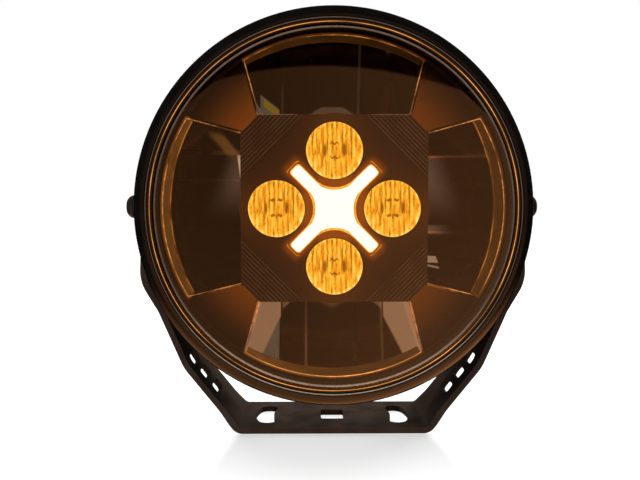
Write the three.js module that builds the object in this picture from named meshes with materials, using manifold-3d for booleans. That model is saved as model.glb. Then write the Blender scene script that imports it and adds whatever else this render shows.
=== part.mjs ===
// A round nine-inch LED fog and driving light on a bent steel strap bracket.
// Millimetres, +Z up, +X to the right seen from in front. The lens faces -Y.
// The origin is the middle of the foot's underside. The head turns about the two side bolts.
import * as THREE from "three";
import { mergeVertices } from "three/addons/utils/BufferGeometryUtils.js";
import Module from "manifold-3d";

const wasm = await Module();
wasm.setup();

// ---- Driving dimensions ---------------------------------------------------

const AXIS_HEIGHT = 133.3; // lamp axis and side bolts above the foot's underside
const RIM_RADIUS = 114; // widest radius of the head
const FINE = 40; // facets round a large turned part
const COARSE = 20; // facets round a small turned part
const TINY = 8; // facets round a screw
const GAP = 0.3; // clearance between neighbouring parts

// Depths along the lamp axis, from the side bolts. Negative is towards the viewer.
const LENS_FRONT = -60;
const LENS_SHOULDER = -50;
const PANEL_FRONT = -48;
const LIP_FRONT = -46.5;
const FLANGE_FRONT = -34;
const REFLECTOR_FRONT = -31;
const REFLECTOR_FLOOR = 12;
const HOUSING_FLOOR = 20;
const HOUSING_BACK = 24;
const FIN_BACK = 40;
const COVER_FRONT = 41;
const COVER_BACK = 44;
const REAR_MOST = 60;
const AHEAD = -80; // in front of everything, for cuts that run right through
const BEHIND = 80; // behind everything

// Strap bracket: the outer surface's corners in XZ, from the foot up the right arm.
const STRAP = 3.5;
const FOOT_WIDTH = 60;
const FOOT_TOP = 5; // where the strap starts to narrow from the foot to the arms
const ARM_WIDTH = 53;
const ARM_FROM = 12; // where the arms' full width starts
const ARM_TAPER_FROM = 72; // where the arms start to narrow towards their round tips
const ARM_TIP_RADIUS = 15;
const ARM_CORNERS = [
  { x: 57.2, z: 0, radius: 8 },
  { x: 88.3, z: 38.6, radius: 26 },
  { x: 102.8, z: 72, radius: 14 },
  { x: 114.2, z: 89.5, radius: 24 },
];
const ARM_TOP = AXIS_HEIGHT + ARM_TIP_RADIUS + 1;
const FOOT_SLOT = { middle: 41.8, halfWidth: 5.6, halfAngle: 0.326 };
const CENTRE_SLOT = { width: 14, length: 20, corner: 1.5 };
const ARM_SLOT = { count: 3, first: 26.2, pitch: 11.4, width: 6.8, length: 28, corner: 2.8 };

// Side bolts, M8 button head.
const BOLT_RADIUS = 4;
const BOLT_HEAD_RADIUS = 7;
const BOLT_TIP = 101.6;
const BOSS_FACE = 107.4;
const ARM_HOLE_RADIUS = 8.3;

// Centre of the face: octagonal panel, four round optics and a crossed light guide.
const PANEL_HALF = 52.4;
const PANEL_CHAMFER = 10.5;
const OPTIC_OFFSET = 32.4;
const OPTIC_RADIUS = 15.9;
const OPTIC_FRONT = -48.6;
const FLUTE_PITCH = 2.7;
const CROSS_HALF_WIDTH = 3.3;
const CROSS_FILLET = 16.2;
const CROSS_REACH = 31.8;
const CROSS_TIP_ROUND = 2.4;
const CROSS_POCKET = 1.9; // width of the sunk edge round the light guide

// The four windows round the panel, one per main reflector. Everything is said for the top one.
const WINDOW_RADIUS = 98.5;
const WINDOW_CORNER = { x: 51, z: 84.3 };
const WINDOW_SIDE_SLOPE = 0.29;
const WINDOW_INNER = 42.2;
const FACET_EDGES = [15.4, 31.4];
const REFLECTOR_WALL = 1.6;

// Fine ridges across the panel's corners, and the panel's thin face and skirt.
const RIDGE = { count: 6, pitch: 2.4, width: 1.2, height: 0.5 };
const PANEL_THICK = 2.5;
const PANEL_SKIRT = { depth: 10, wall: 2 };

// Light engine: a hollow tower in the middle, with boards on its front and sides.
const TOWER = { half: 31, hollowHalf: 25, front: -36, plate: 3, plateHalf: 46, plateChamfer: 9 };
const FOG_BOARD = { half: 45, chamfer: 9, front: -37.7, thick: 1.5 };
const MAIN_BOARD = { halfLength: 16, front: -32.6, back: -9, thick: 1.6 };
const EMITTER = { half: 3, height: 1 };
const MAIN_EMITTER = { half: 2, pitch: 9, front: -31, height: 0.8 };

// Back of the housing.
const BOSS_RADIUS = 13.5;
const SCREW = { bezel: 1.5, cover: 1.4, clip: 1.5, headRadius: 3, headHeight: 2.2, hole: 0.3 };
const FIN = { pairs: 6, pitch: 14, thick: 2.6, halfHeight: 95 };
const DRIVER_RADIUS = 34;
const COVER_RADIUS = 42.6;
const COVER_SCREW_CIRCLE = 38.5;
const BEZEL_SCREW_CIRCLE = 110.6;
const CABLE_RADIUS = 3.2;
const GLAND_DEPTH = 32;
const CLIP_SCREW = { x: 74, z: -36 };
const CLIP_SEAT = 43;
const PLUG = { x: 62, y: REAR_MOST - 8, bottom: -12, top: 24 };
const VENT = { x: -15, z: 13, stem: 3.4, cap: 7 };

const X_AXIS = new THREE.Vector3(1, 0, 0);
const Y_AXIS = new THREE.Vector3(0, 1, 0);
const Z_AXIS = new THREE.Vector3(0, 0, 1);

// ---- Solids ---------------------------------------------------------------

// Turns a closed geometry into a solid that can be joined and cut.
function solid(geometry) {
  const bare = new THREE.BufferGeometry();
  const source = geometry.index ? geometry.toNonIndexed() : geometry;
  bare.setAttribute("position", source.getAttribute("position"));
  const merged = mergeVertices(bare, 1e-3);
  const corners = merged.index.array;
  const kept = [];
  for (let i = 0; i < corners.length; i += 3) {
    const [a, b, c] = corners.slice(i, i + 3);
    if (a !== b && b !== c && c !== a) kept.push(a, b, c);
  }
  const build = (triangles) =>
    new wasm.Manifold(
      new wasm.Mesh({
        numProp: 3,
        vertProperties: merged.attributes.position.array,
        triVerts: new Uint32Array(triangles),
      }),
    );
  const made = build(kept);
  return made.volume() < 0 ? build(kept.reverse()) : made;
}

function geometryOf(made) {
  const mesh = made.getMesh();
  const geometry = new THREE.BufferGeometry();
  geometry.setAttribute("position", new THREE.BufferAttribute(mesh.vertProperties, 3));
  geometry.setIndex(new THREE.BufferAttribute(mesh.triVerts, 1));
  geometry.computeVertexNormals();
  return geometry;
}

const union = (...parts) => parts.reduce((a, b) => a.add(b));

// A profile of [radius, depth] pairs turned about the lamp axis (Y).
function turned(profile, segments = FINE) {
  const points = profile.map(([radius, depth]) => new THREE.Vector2(radius, depth));
  const onAxis = profile[0][0] === 0 && profile.at(-1)[0] === 0;
  if (!onAxis) points.push(points[0].clone());
  return solid(new THREE.LatheGeometry(points, segments));
}

// A ring, or a disc when inner is 0, about the lamp axis.
function ring(inner, outer, front, back, segments = COARSE) {
  return turned([[inner, front], [outer, front], [outer, back], [inner, back]], segments);
}

// A shape drawn in XZ and extruded along Y from front to back.
function plate(shape, front, back, curveSegments = 4) {
  const options = { depth: back - front, bevelEnabled: false, curveSegments };
  const geometry = new THREE.ExtrudeGeometry(shape, options);
  return solid(geometry.rotateX(Math.PI / 2).translate(0, back, 0));
}

// A shape extruded along the third of three given axes, from an origin point.
function prism(shape, depth, axes, origin, curveSegments = 2) {
  const options = { depth, bevelEnabled: false, curveSegments };
  const geometry = new THREE.ExtrudeGeometry(shape, options);
  const placed = new THREE.Matrix4().makeBasis(...axes).setPosition(...origin);
  return solid(geometry.applyMatrix4(placed));
}

function block([x0, x1], [y0, y1], [z0, z1]) {
  const box = new THREE.BoxGeometry(x1 - x0, y1 - y0, z1 - z0);
  return solid(box.translate((x0 + x1) / 2, (y0 + y1) / 2, (z0 + z1) / 2));
}

// Angles in degrees about the named axes, for a solid made along Y.
const alongX = (made) => made.rotate([0, 0, -90]);
const alongZ = (made) => made.rotate([90, 0, 0]);
const hanging = (made) => made.rotate([-90, 0, 0]).translate([0, GLAND_DEPTH, 0]);
const mirroredX = (made) => made.mirror([1, 0, 0]);

// ---- Shapes ---------------------------------------------------------------

function roundedRectangle(width, height, radius) {
  const [w, h] = [width / 2 - radius, height / 2 - radius];
  const shape = new THREE.Shape();
  shape.absarc(w, -h, radius, -Math.PI / 2, 0);
  shape.absarc(w, h, radius, 0, Math.PI / 2);
  shape.absarc(-w, h, radius, Math.PI / 2, Math.PI);
  shape.absarc(-w, -h, radius, Math.PI, 1.5 * Math.PI);
  return shape.closePath();
}

// A slot bent round the origin, centred on +X.
function arcSlot(middle, halfWidth, halfAngle) {
  const shape = new THREE.Shape();
  const end = [middle * Math.cos(halfAngle), middle * Math.sin(halfAngle)];
  shape.absarc(0, 0, middle + halfWidth, -halfAngle, halfAngle);
  shape.absarc(end[0], end[1], halfWidth, halfAngle, halfAngle + Math.PI);
  shape.absarc(0, 0, middle - halfWidth, halfAngle, -halfAngle, true);
  shape.absarc(end[0], -end[1], halfWidth, Math.PI - halfAngle, 2 * Math.PI - halfAngle);
  return shape.closePath();
}

// The panel's octagon: a square with its corners cut off, grown by grow on every side.
function octagon(half, chamfer, grow = 0) {
  const side = half + grow;
  const cut = half - chamfer + grow * Math.tan(Math.PI / 8);
  const corners = [];
  for (let turn = 0; turn < 4; turn++) {
    const angle = (turn * Math.PI) / 2;
    for (const z of [-cut, cut]) {
      corners.push(new THREE.Vector2(side, z).rotateAround(new THREE.Vector2(), angle));
    }
  }
  return new THREE.Shape(corners);
}

// The crossed light guide: four diagonal arms joined by round fillets, grown by grow.
function cross(grow = 0) {
  const half = CROSS_HALF_WIDTH + grow;
  const fillet = CROSS_FILLET - grow;
  const reach = CROSS_REACH + grow;
  const centre = (fillet + half) * Math.SQRT2;
  const shape = new THREE.Shape();
  for (let arm = 0; arm < 4; arm++) {
    const angle = Math.PI / 4 + (arm * Math.PI) / 2;
    const at = (along, across) =>
      new THREE.Vector2(along, across).rotateAround(new THREE.Vector2(), angle);
    const points = [
      at(reach - CROSS_TIP_ROUND, -half),
      at(reach, -half),
      at(reach, CROSS_TIP_ROUND - half),
      at(reach, half - CROSS_TIP_ROUND),
      at(reach, half),
      at(reach - CROSS_TIP_ROUND, half),
    ];
    if (arm === 0) shape.moveTo(points[0].x, points[0].y);
    else shape.lineTo(points[0].x, points[0].y);
    shape.quadraticCurveTo(points[1].x, points[1].y, points[2].x, points[2].y);
    shape.lineTo(points[3].x, points[3].y);
    shape.quadraticCurveTo(points[4].x, points[4].y, points[5].x, points[5].y);
    const notch = angle + Math.PI / 4;
    const middle = new THREE.Vector2(centre, 0).rotateAround(new THREE.Vector2(), notch);
    const from = notch + Math.PI + Math.PI / 4;
    shape.absarc(middle.x, middle.y, fillet, from, from - Math.PI / 2, true);
  }
  return shape.closePath();
}

// One reflector's window seen from in front, above the panel, grown by grow.
function windowOutline(grow = 0) {
  const slant = Math.hypot(1, WINDOW_SIDE_SLOPE);
  const start = WINDOW_CORNER.x - WINDOW_CORNER.z * WINDOW_SIDE_SLOPE + grow * slant;
  const halfWidth = (z) => start + WINDOW_SIDE_SLOPE * z;
  const radius = WINDOW_RADIUS + grow;
  const inner = WINDOW_INNER - grow;
  const along = WINDOW_SIDE_SLOPE * start;
  const root = Math.sqrt(along ** 2 - slant ** 2 * (start ** 2 - radius ** 2));
  const corner = (root - along) / slant ** 2;
  const angle = Math.atan2(corner, halfWidth(corner));
  const shape = new THREE.Shape();
  shape.moveTo(-halfWidth(inner), inner);
  shape.lineTo(halfWidth(inner), inner);
  shape.absarc(0, 0, radius, angle, Math.PI - angle);
  return shape.closePath();
}

function circle(x, z, radius) {
  return new THREE.Shape().absarc(x, z, radius, 0, 2 * Math.PI);
}

// ---- Scene helpers --------------------------------------------------------

const lamp = new THREE.Group();
const head = new THREE.Group();
head.position.set(0, 0, AXIS_HEIGHT);
lamp.add(head);

const FINISHES = {
  powderCoat: [0x17130f, 0.55, 0.2],
  castHousing: [0x141312, 0.6, 0.3],
  glossBlack: [0x0b0a09, 0.12, 0],
  smokedLens: [0x7a4a24, 0.05, 0],
  reflector: [0xb9b4ad, 0.08, 1],
  darkBezel: [0x3a2214, 0.25, 0.2],
  amberOptic: [0xf0a020, 0.15, 0],
  litCross: [0xfff1d0, 0.4, 0],
  circuit: [0xe8e8e4, 0.5, 0],
  driver: [0x1d5a35, 0.5, 0],
  aluminium: [0x9a9a9c, 0.4, 1],
  rubber: [0x111111, 0.85, 0],
  silicone: [0x8f8f8c, 0.8, 0],
  zinc: [0xa8a8a6, 0.35, 1],
  blackSteel: [0x101010, 0.4, 0.8],
  nylon: [0x151515, 0.6, 0],
  orangeNylon: [0xd9661c, 0.5, 0],
};

function material(finish) {
  const [color, roughness, metalness] = FINISHES[finish];
  return new THREE.MeshStandardMaterial({ color, roughness, metalness });
}

function piece(name, made, finish, parent = head) {
  const mesh = new THREE.Mesh(geometryOf(made), material(finish));
  mesh.name = name;
  parent.add(mesh);
  return mesh;
}

// ---- Bracket --------------------------------------------------------------

// The strap's right half in XZ: its outer face with round bends, and its inner face, which is the
// same line moved in by the strap's thickness.
function strapOutline() {
  const outer = ARM_CORNERS.map(({ x, z }) => new THREE.Vector2(x, z));
  outer.unshift(new THREE.Vector2(0, 0));
  outer.push(new THREE.Vector2(ARM_CORNERS.at(-1).x, ARM_TOP));
  const inside = [];
  const outside = [];
  const offset = (point, normal) => {
    inside.push(point.clone().addScaledVector(normal, STRAP));
    outside.push(point.clone());
  };
  const leftOf = (direction) => new THREE.Vector2(-direction.y, direction.x);
  for (let i = 1; i < outer.length - 1; i++) {
    const before = outer[i].clone().sub(outer[i - 1]).normalize();
    const after = outer[i + 1].clone().sub(outer[i]).normalize();
    const bend = before.angleTo(after) * Math.sign(before.cross(after));
    const radius = ARM_CORNERS[i - 1].radius;
    const tangent = radius * Math.tan(Math.abs(bend) / 2);
    const begin = outer[i].clone().addScaledVector(before, -tangent);
    const side = Math.sign(bend);
    const centre = begin.clone().addScaledVector(leftOf(before), side * radius);
    const steps = Math.max(2, Math.ceil(Math.abs(bend) / 0.2));
    for (let k = 0; k <= steps; k++) {
      const angle = (bend * k) / steps;
      const point = begin.clone().rotateAround(centre, angle);
      const normal = leftOf(before).rotateAround(new THREE.Vector2(), angle);
      offset(point, normal);
    }
  }
  offset(outer.at(-1), new THREE.Vector2(-1, 0));
  const right = [...outside, ...inside.reverse()];
  const halfFoot = [new THREE.Vector2(0, 0), ...right, new THREE.Vector2(0, STRAP)];
  return new THREE.Shape(halfFoot);
}

// The bracket seen from the side, in YZ: a wide foot, narrower arms and round tips.
function bracketSide() {
  const [foot, arm, tip] = [FOOT_WIDTH / 2, ARM_WIDTH / 2, ARM_TIP_RADIUS];
  const rise = AXIS_HEIGHT - ARM_TAPER_FROM;
  const reach = Math.hypot(arm, rise);
  const tangent = Math.atan2(rise, arm) - Math.acos(tip / reach);
  const shape = new THREE.Shape();
  shape.moveTo(-foot, -1);
  shape.lineTo(foot, -1);
  shape.lineTo(foot, FOOT_TOP);
  shape.lineTo(arm, ARM_FROM);
  shape.lineTo(arm, ARM_TAPER_FROM);
  shape.absarc(0, AXIS_HEIGHT, tip, -tangent, Math.PI + tangent);
  shape.lineTo(-arm, ARM_TAPER_FROM);
  shape.lineTo(-arm, ARM_FROM);
  shape.lineTo(-foot, FOOT_TOP);
  return shape.closePath();
}

function bracket() {
  const half = plate(strapOutline(), -FOOT_WIDTH, FOOT_WIDTH);
  const wide = 130;
  const side = prism(bracketSide(), 2 * wide, [Y_AXIS, Z_AXIS, X_AXIS], [-wide, 0, 0], 5);
  const strap = union(half, mirroredX(half)).intersect(side);

  const footUp = [X_AXIS, Y_AXIS, Z_AXIS];
  const below = -2;
  const through = STRAP - 2 * below;
  const { middle, halfWidth, halfAngle } = FOOT_SLOT;
  const boltSlot = prism(arcSlot(middle, halfWidth, halfAngle), through, footUp, [0, 0, below], 4);
  const centreOutline = roundedRectangle(CENTRE_SLOT.width, CENTRE_SLOT.length, CENTRE_SLOT.corner);
  const centreSlot = prism(centreOutline, through, footUp, [0, 0, below]);

  // Slots across each lower arm, counted from the foot's corner.
  const [footCorner, armCorner] = ARM_CORNERS;
  const lean = Math.atan2(armCorner.z - footCorner.z, armCorner.x - footCorner.x);
  const up = new THREE.Vector3(Math.cos(lean), 0, Math.sin(lean));
  const inward = new THREE.Vector3(-Math.sin(lean), 0, Math.cos(lean));
  const slot = roundedRectangle(ARM_SLOT.width, ARM_SLOT.length, ARM_SLOT.corner);
  const cuts = [];
  for (let i = 0; i < ARM_SLOT.count; i++) {
    const along = ARM_SLOT.first + i * ARM_SLOT.pitch;
    const place = new THREE.Vector3(footCorner.x, 0, footCorner.z)
      .addScaledVector(up, along)
      .addScaledVector(inward, 2 * below);
    cuts.push(prism(slot, STRAP - 4 * below, [up, Y_AXIS, inward], place.toArray()));
  }
  const pivotHole = alongX(ring(0, ARM_HOLE_RADIUS, 100, 130)).translate([0, 0, AXIS_HEIGHT]);
  const oneSide = union(boltSlot, pivotHole, ...cuts);
  return strap.subtract(union(oneSide, mirroredX(oneSide), centreSlot));
}

piece("mounting_bracket", bracket(), "powderCoat", lamp);

// ---- Housing, bezel and lens ----------------------------------------------

function bezelScrewAngles() {
  return [...Array(6).keys()].map((i) => (i + 0.5) * 60);
}

// A pocket for each bezel screw, or anything else that repeats round the screw circle.
function roundScrewCircle(make) {
  const made = bezelScrewAngles().map((angle) =>
    make().translate([BEZEL_SCREW_CIRCLE, 0, 0]).rotate([0, angle, 0]),
  );
  return union(...made);
}

// Upright blades inside an envelope that follows the bowl; they never reach into it.
function fins() {
  const blades = [];
  for (let i = -FIN.pairs; i < FIN.pairs; i++) {
    const x = (i + 0.5) * FIN.pitch;
    const sides = [x - FIN.thick / 2, x + FIN.thick / 2];
    const ends = [-FIN.halfHeight, FIN.halfHeight];
    blades.push(block(sides, [HOUSING_BACK - 18, FIN_BACK], ends));
  }
  const envelope = turned([
    [0, HOUSING_BACK - 4],
    [84, HOUSING_BACK - 4],
    [99, 7],
    [100, 12],
    [93, 34],
    [86, FIN_BACK],
    [0, FIN_BACK],
  ], 24);
  const inside = turned([[0, 0], [96, 0], [90, 15], [80, 23], [0, 23]]);
  return union(...blades).intersect(envelope).subtract(inside);
}

function housingBowl() {
  return turned([
    [0, HOUSING_BACK],
    [86, HOUSING_BACK],
    [98.5, 10],
    [104, -8],
    [106, FLANGE_FRONT + 5],
    [113.6, FLANGE_FRONT + 5],
    [113.6, FLANGE_FRONT],
    [107.3, FLANGE_FRONT],
    [107.3, -38.5],
    [101.6, -38.5],
    [101.6, -26.7],
    [101.2, -8],
    [95.5, 9],
    [84, HOUSING_FLOOR],
    [0, HOUSING_FLOOR],
  ]);
}

const atClipScrew = (made) => made.translate([CLIP_SCREW.x, 0, CLIP_SCREW.z]);

// Every hole and pocket in the housing, as one solid.
function housingCuts() {
  const tapped = alongX(ring(0, BOLT_RADIUS + 0.15, BOLT_TIP - 0.5, 130));
  const chamber = ring(0, DRIVER_RADIUS, HOUSING_BACK, BEHIND);
  const wireHole = ring(0, 4, 0, BEHIND);
  const notchTop = -COVER_RADIUS + 2.2;
  const glandNotch = block([-12, 12], [HOUSING_BACK + 0.1, BEHIND], [-RIM_RADIUS, notchTop]);
  const glandHole = hanging(ring(0, 6.3, 20, 60));
  const coverHoles = coverScrewPlaces().map(([x, z]) =>
    ring(0, SCREW.cover + 0.2, COVER_FRONT - 9, BEHIND, TINY).translate([x, 0, z]),
  );
  const screwHole = () => ring(0, 1.9, AHEAD, 0, TINY);
  const headSeat = () => ring(0, 4, FLANGE_FRONT + 5, 0, TINY);
  return union(
    tapped,
    mirroredX(tapped),
    chamber,
    wireHole,
    glandNotch,
    glandHole,
    ...coverHoles,
    roundScrewCircle(screwHole),
    roundScrewCircle(headSeat),
    atClipScrew(ring(0, SCREW.clip + 0.2, 30, BEHIND, TINY)),
  );
}

function rearHousing() {
  const chamberWall = ring(0, COVER_RADIUS, HOUSING_BACK - 1, FIN_BACK);
  const boss = alongX(ring(0, BOSS_RADIUS, 90, BOSS_FACE)).subtract(ring(0, 101, -30, 30, FINE));
  const clipBoss = atClipScrew(ring(0, 4.5, HOUSING_BACK - 2, CLIP_SEAT));
  const body = union(housingBowl(), fins(), chamberWall, boss, mirroredX(boss), clipBoss);
  return body.subtract(housingCuts());
}

function coverScrewPlaces() {
  const out = COVER_SCREW_CIRCLE * Math.SQRT1_2;
  return [[out, out], [out, -out], [-out, -out], [-out, out]];
}

// The outer shoulder of the bezel is a quarter ellipse from the rim to the lip.
function bezelProfile() {
  const [lip, wide] = [106.4, RIM_RADIUS];
  const start = FLANGE_FRONT - 2;
  const profile = [[wide, FLANGE_FRONT - 0.2]];
  const steps = 4;
  for (let i = 0; i <= steps; i++) {
    const angle = (i / steps) * (Math.PI / 2);
    profile.push([
      lip + (wide - lip) * Math.cos(angle),
      start + (LIP_FRONT - start) * Math.sin(angle),
    ]);
  }
  return [
    ...profile,
    [105.6, LIP_FRONT + 0.5],
    [105.6, -44.3],
    [107.7, -44.3],
    [107.7, FLANGE_FRONT - 0.2],
  ];
}

function bezel() {
  const pilot = () => ring(0, 1.7, -40.5, 0, TINY);
  return turned(bezelProfile()).subtract(roundScrewCircle(pilot));
}

// A shallow dome with a stepped edge and a flange that the bezel lip holds down.
function lensProfile() {
  const domed = (edge, rise, steps) => {
    const points = [];
    for (let i = 0; i <= steps; i++) {
      const radius = (edge * i) / steps;
      points.push([radius, rise(radius / edge)]);
    }
    return points;
  };
  const outer = domed(100.4, (t) => LENS_FRONT + (LENS_SHOULDER - LENS_FRONT) * t ** 2, 4);
  const inner = domed(98, (t) => LENS_FRONT + 3 + (LENS_SHOULDER - LENS_FRONT) * t ** 2, 3);
  return [
    ...outer,
    [101.2, LENS_SHOULDER + 0.6],
    [102.6, -44.1],
    [107.3, -44.1],
    [107.3, -41.5],
    [100.2, -41.5],
    ...inner.reverse(),
  ];
}

piece("rear_housing", rearHousing(), "castHousing");
piece("front_bezel", bezel(), "glossBlack");
piece("front_lens", turned(lensProfile()), "smokedLens");
piece("lens_seal", ring(102.4, 107, -41.3, -38.7, FINE), "silicone");

// ---- Inner face: surround, panel and reflectors ---------------------------

// The surround's front surface is a cone that falls back from the panel to the rim.
const CONE_TOP = { radius: 67, depth: -46 };
function coneDepth(radius) {
  const slope = (REFLECTOR_FRONT - CONE_TOP.depth) / (WINDOW_RADIUS - CONE_TOP.radius);
  return CONE_TOP.depth + (radius - CONE_TOP.radius) * slope;
}

function quarterTurned(make) {
  return union(...[0, 90, 180, 270].map((angle) => make().rotate([0, angle, 0])));
}

function surround() {
  const thick = 2.2;
  const cone = turned([
    [58, coneDepth(58)],
    [WINDOW_RADIUS, REFLECTOR_FRONT],
    [101.2, REFLECTOR_FRONT],
    [101.2, REFLECTOR_FRONT + 4],
    [98.8, REFLECTOR_FRONT + 4],
    [WINDOW_RADIUS, REFLECTOR_FRONT + thick],
    [58, coneDepth(58) + thick],
  ]);
  const windows = quarterTurned(() => plate(windowOutline(REFLECTOR_WALL + GAP), AHEAD, 10));
  const centre = plate(octagon(PANEL_HALF, PANEL_CHAMFER, GAP), AHEAD, 10);
  return cone.subtract(union(windows, centre));
}

// Ridges run across each corner of the panel, parallel to its cut corner.
function panelRidges() {
  const outermost = (2 * PANEL_HALF - PANEL_CHAMFER) / Math.SQRT2;
  const depths = [PANEL_FRONT - RIDGE.height, PANEL_FRONT + 1];
  const bars = [];
  for (let i = 0; i < RIDGE.count; i++) {
    const far = outermost - RIDGE.width - i * RIDGE.pitch;
    bars.push(block([far - RIDGE.width, far], depths, [-40, 40]).rotate([0, 45, 0]));
  }
  return union(...bars);
}

function centrePanel() {
  const skirtBack = PANEL_FRONT + PANEL_SKIRT.depth;
  const outline = plate(octagon(PANEL_HALF, PANEL_CHAMFER), AHEAD, skirtBack);
  const hollow = octagon(PANEL_HALF, PANEL_CHAMFER, -PANEL_SKIRT.wall);
  const inside = plate(hollow, PANEL_FRONT + PANEL_THICK, 0);
  const face = plate(octagon(PANEL_HALF, PANEL_CHAMFER), PANEL_FRONT, skirtBack);
  const ridges = quarterTurned(panelRidges).intersect(outline);
  const pocket = plate(cross(CROSS_POCKET), AHEAD, PANEL_FRONT + 1.4);
  const guideHole = plate(cross(GAP), AHEAD, 0);
  const opticHole = circle(0, OPTIC_OFFSET, OPTIC_RADIUS + GAP);
  const opticHoles = quarterTurned(() => plate(opticHole, AHEAD, 0, COARSE / 2));
  return union(face, ridges).subtract(union(inside, pocket, guideHole, opticHoles));
}

// Everything in front of a reflector's dished, five-sided floor, moved back by back.
function aheadOfFloor(back) {
  const [near, far] = FACET_EDGES;
  const across = [-64, -far, -near, near, far, 64];
  const facets = across.length - 1;
  const rows = 9;
  const rowHeight = 8;
  const lowest = 30;
  const dishMiddle = 34;
  const focus = 177.6; // four times the dish's focal length
  const box = new THREE.BoxGeometry(facets, 1, rows, facets, 1, rows);
  const place = box.getAttribute("position");
  for (let i = 0; i < place.count; i++) {
    const x = across[Math.round(place.getX(i) + facets / 2)];
    const z = lowest + (place.getZ(i) + rows / 2) * rowHeight;
    const dish = ((z - dishMiddle) ** 2 + x ** 2) / focus;
    const y = place.getY(i) > 0 ? REFLECTOR_FLOOR - dish + back : AHEAD;
    place.setXYZ(i, x, y, z);
  }
  return solid(box);
}

function reflector() {
  const wall = REFLECTOR_WALL;
  const outer = plate(windowOutline(wall), AHEAD, 30).intersect(aheadOfFloor(wall + 0.2));
  const inside = plate(windowOutline(0), AHEAD, 30).intersect(aheadOfFloor(0));
  const keep = turned([
    [0, -45.2],
    [68.7, -45.2],
    [WINDOW_RADIUS, REFLECTOR_FRONT],
    [110, REFLECTOR_FRONT],
    [110, 40],
    [0, 40],
  ]);
  const skirtBack = PANEL_FRONT + PANEL_SKIRT.depth;
  const underPanel = block([-70, 70], [AHEAD, skirtBack + 0.4], [0, PANEL_HALF + GAP]);
  const underBoard = block([-70, 70], [AHEAD, -32.6], [0, TOWER.plateHalf + 0.8]);
  const lightDoor = block([-20, 20], [AHEAD, MAIN_BOARD.back + 2], [0, WINDOW_INNER + 1]);
  return outer.subtract(inside).intersect(keep).subtract(union(underPanel, underBoard, lightDoor));
}

const SIDES = ["top", "right", "bottom", "left"];
const sideTurn = (index) => (index * Math.PI) / 2;

piece("inner_surround", surround(), "darkBezel");
piece("centre_panel", centrePanel(), "darkBezel");
SIDES.forEach((side, index) => {
  piece(`main_reflector_${side}`, reflector(), "reflector").rotation.y = sideTurn(index);
});

// ---- Optics and light guide ----------------------------------------------

// A round optic with upright flutes in front and a tapering body down to its emitter.
function fogOptic() {
  const body = turned(
    [
      [0, OPTIC_FRONT],
      [OPTIC_RADIUS, OPTIC_FRONT],
      [OPTIC_RADIUS, OPTIC_FRONT + 3],
      [OPTIC_RADIUS - 1.3, OPTIC_FRONT + 3],
      [7, -39.2],
      [4.2, -39.2],
      [4.2, -42],
      [0, -43],
    ],
    COARSE,
  );
  const eachWay = Math.ceil(OPTIC_RADIUS / FLUTE_PITCH);
  const flutes = [];
  for (let i = -eachWay; i <= eachWay; i++) {
    const bar = alongZ(ring(0, FLUTE_PITCH / 2, -20, 20, 6)).scale([0.98, 0.7, 1]);
    flutes.push(bar.translate([i * FLUTE_PITCH, OPTIC_FRONT, 0]));
  }
  const bound = ring(0, OPTIC_RADIUS - 0.5, OPTIC_FRONT - 6, OPTIC_FRONT + 0.6);
  return union(body, union(...flutes).intersect(bound));
}

SIDES.forEach((side, index) => {
  const angle = Math.PI / 2 - sideTurn(index);
  const optic = piece(`fog_optic_${side}`, fogOptic(), "amberOptic");
  optic.position.set(OPTIC_OFFSET * Math.cos(angle), 0, OPTIC_OFFSET * Math.sin(angle));
});

piece("position_light_guide", plate(cross(), -49.3, -42.2), "litCross");
piece("position_led_board", plate(cross(-0.3), -41.8, -40.4), "circuit");

// ---- Light engine ---------------------------------------------------------

function fogBoard() {
  const { half, chamfer, front, thick } = FOG_BOARD;
  const board = plate(octagon(half, chamfer), front, front + thick);
  const heights = [OPTIC_OFFSET - EMITTER.half, OPTIC_OFFSET + EMITTER.half];
  const depths = [front - EMITTER.height, front + 0.1];
  const emitter = () => block([-EMITTER.half, EMITTER.half], depths, heights);
  return union(board, quarterTurned(emitter));
}

function tower() {
  const { half, hollowHalf, front, plate: thick, plateHalf, plateChamfer } = TOWER;
  const top = plate(octagon(plateHalf, plateChamfer), front, front + thick);
  const stem = block([-half, half], [front + 2, HOUSING_FLOOR - 0.2], [-half, half]);
  const inside = [-hollowHalf, hollowHalf];
  const hollow = block(inside, [front + 8, HOUSING_FLOOR + 5], inside);
  return union(top, stem).subtract(hollow);
}

// A board on one side of the tower, with three emitters that face its reflector.
function mainBoard() {
  const { halfLength, front, back, thick } = MAIN_BOARD;
  const face = TOWER.half + 0.2;
  const board = block([-halfLength, halfLength], [front, back], [face, face + thick]);
  const { half, pitch, front: first, height } = MAIN_EMITTER;
  const heights = [face + thick - 0.1, face + thick + height];
  const emitters = [-pitch, 0, pitch].map((x) =>
    block([x - half, x + half], [first, first + 2 * half], heights),
  );
  return union(board, ...emitters);
}

function driverBoard() {
  const board = ring(0, 31, 30, 31.6);
  const coil = ring(0, 7, 25.5, 30.5, 16).translate([-12, 0, 8]);
  const capacitor = ring(0, 5, 24.6, 30.5, 16).translate([12, 0, 12]);
  const controller = block([4, 14], [28.6, 30.5], [-12, -4]);
  const switches = block([-16, -8], [28, 30.5], [-14, -7]);
  return union(board, coil, capacitor, controller, switches);
}

piece("fog_led_board", fogBoard(), "circuit");
piece("led_tower", tower(), "aluminium");
SIDES.forEach((side, index) => {
  piece(`main_led_board_${side}`, mainBoard(), "circuit").rotation.y = sideTurn(index);
});
piece("driver_board", driverBoard(), "driver");

// ---- Back of the housing --------------------------------------------------

function withCoverHoles(made) {
  const hole = () => ring(0, SCREW.cover + SCREW.hole, 30, BEHIND, TINY);
  const holes = coverScrewPlaces().map(([x, z]) => hole().translate([x, 0, z]));
  return made.subtract(union(...holes));
}

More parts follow.
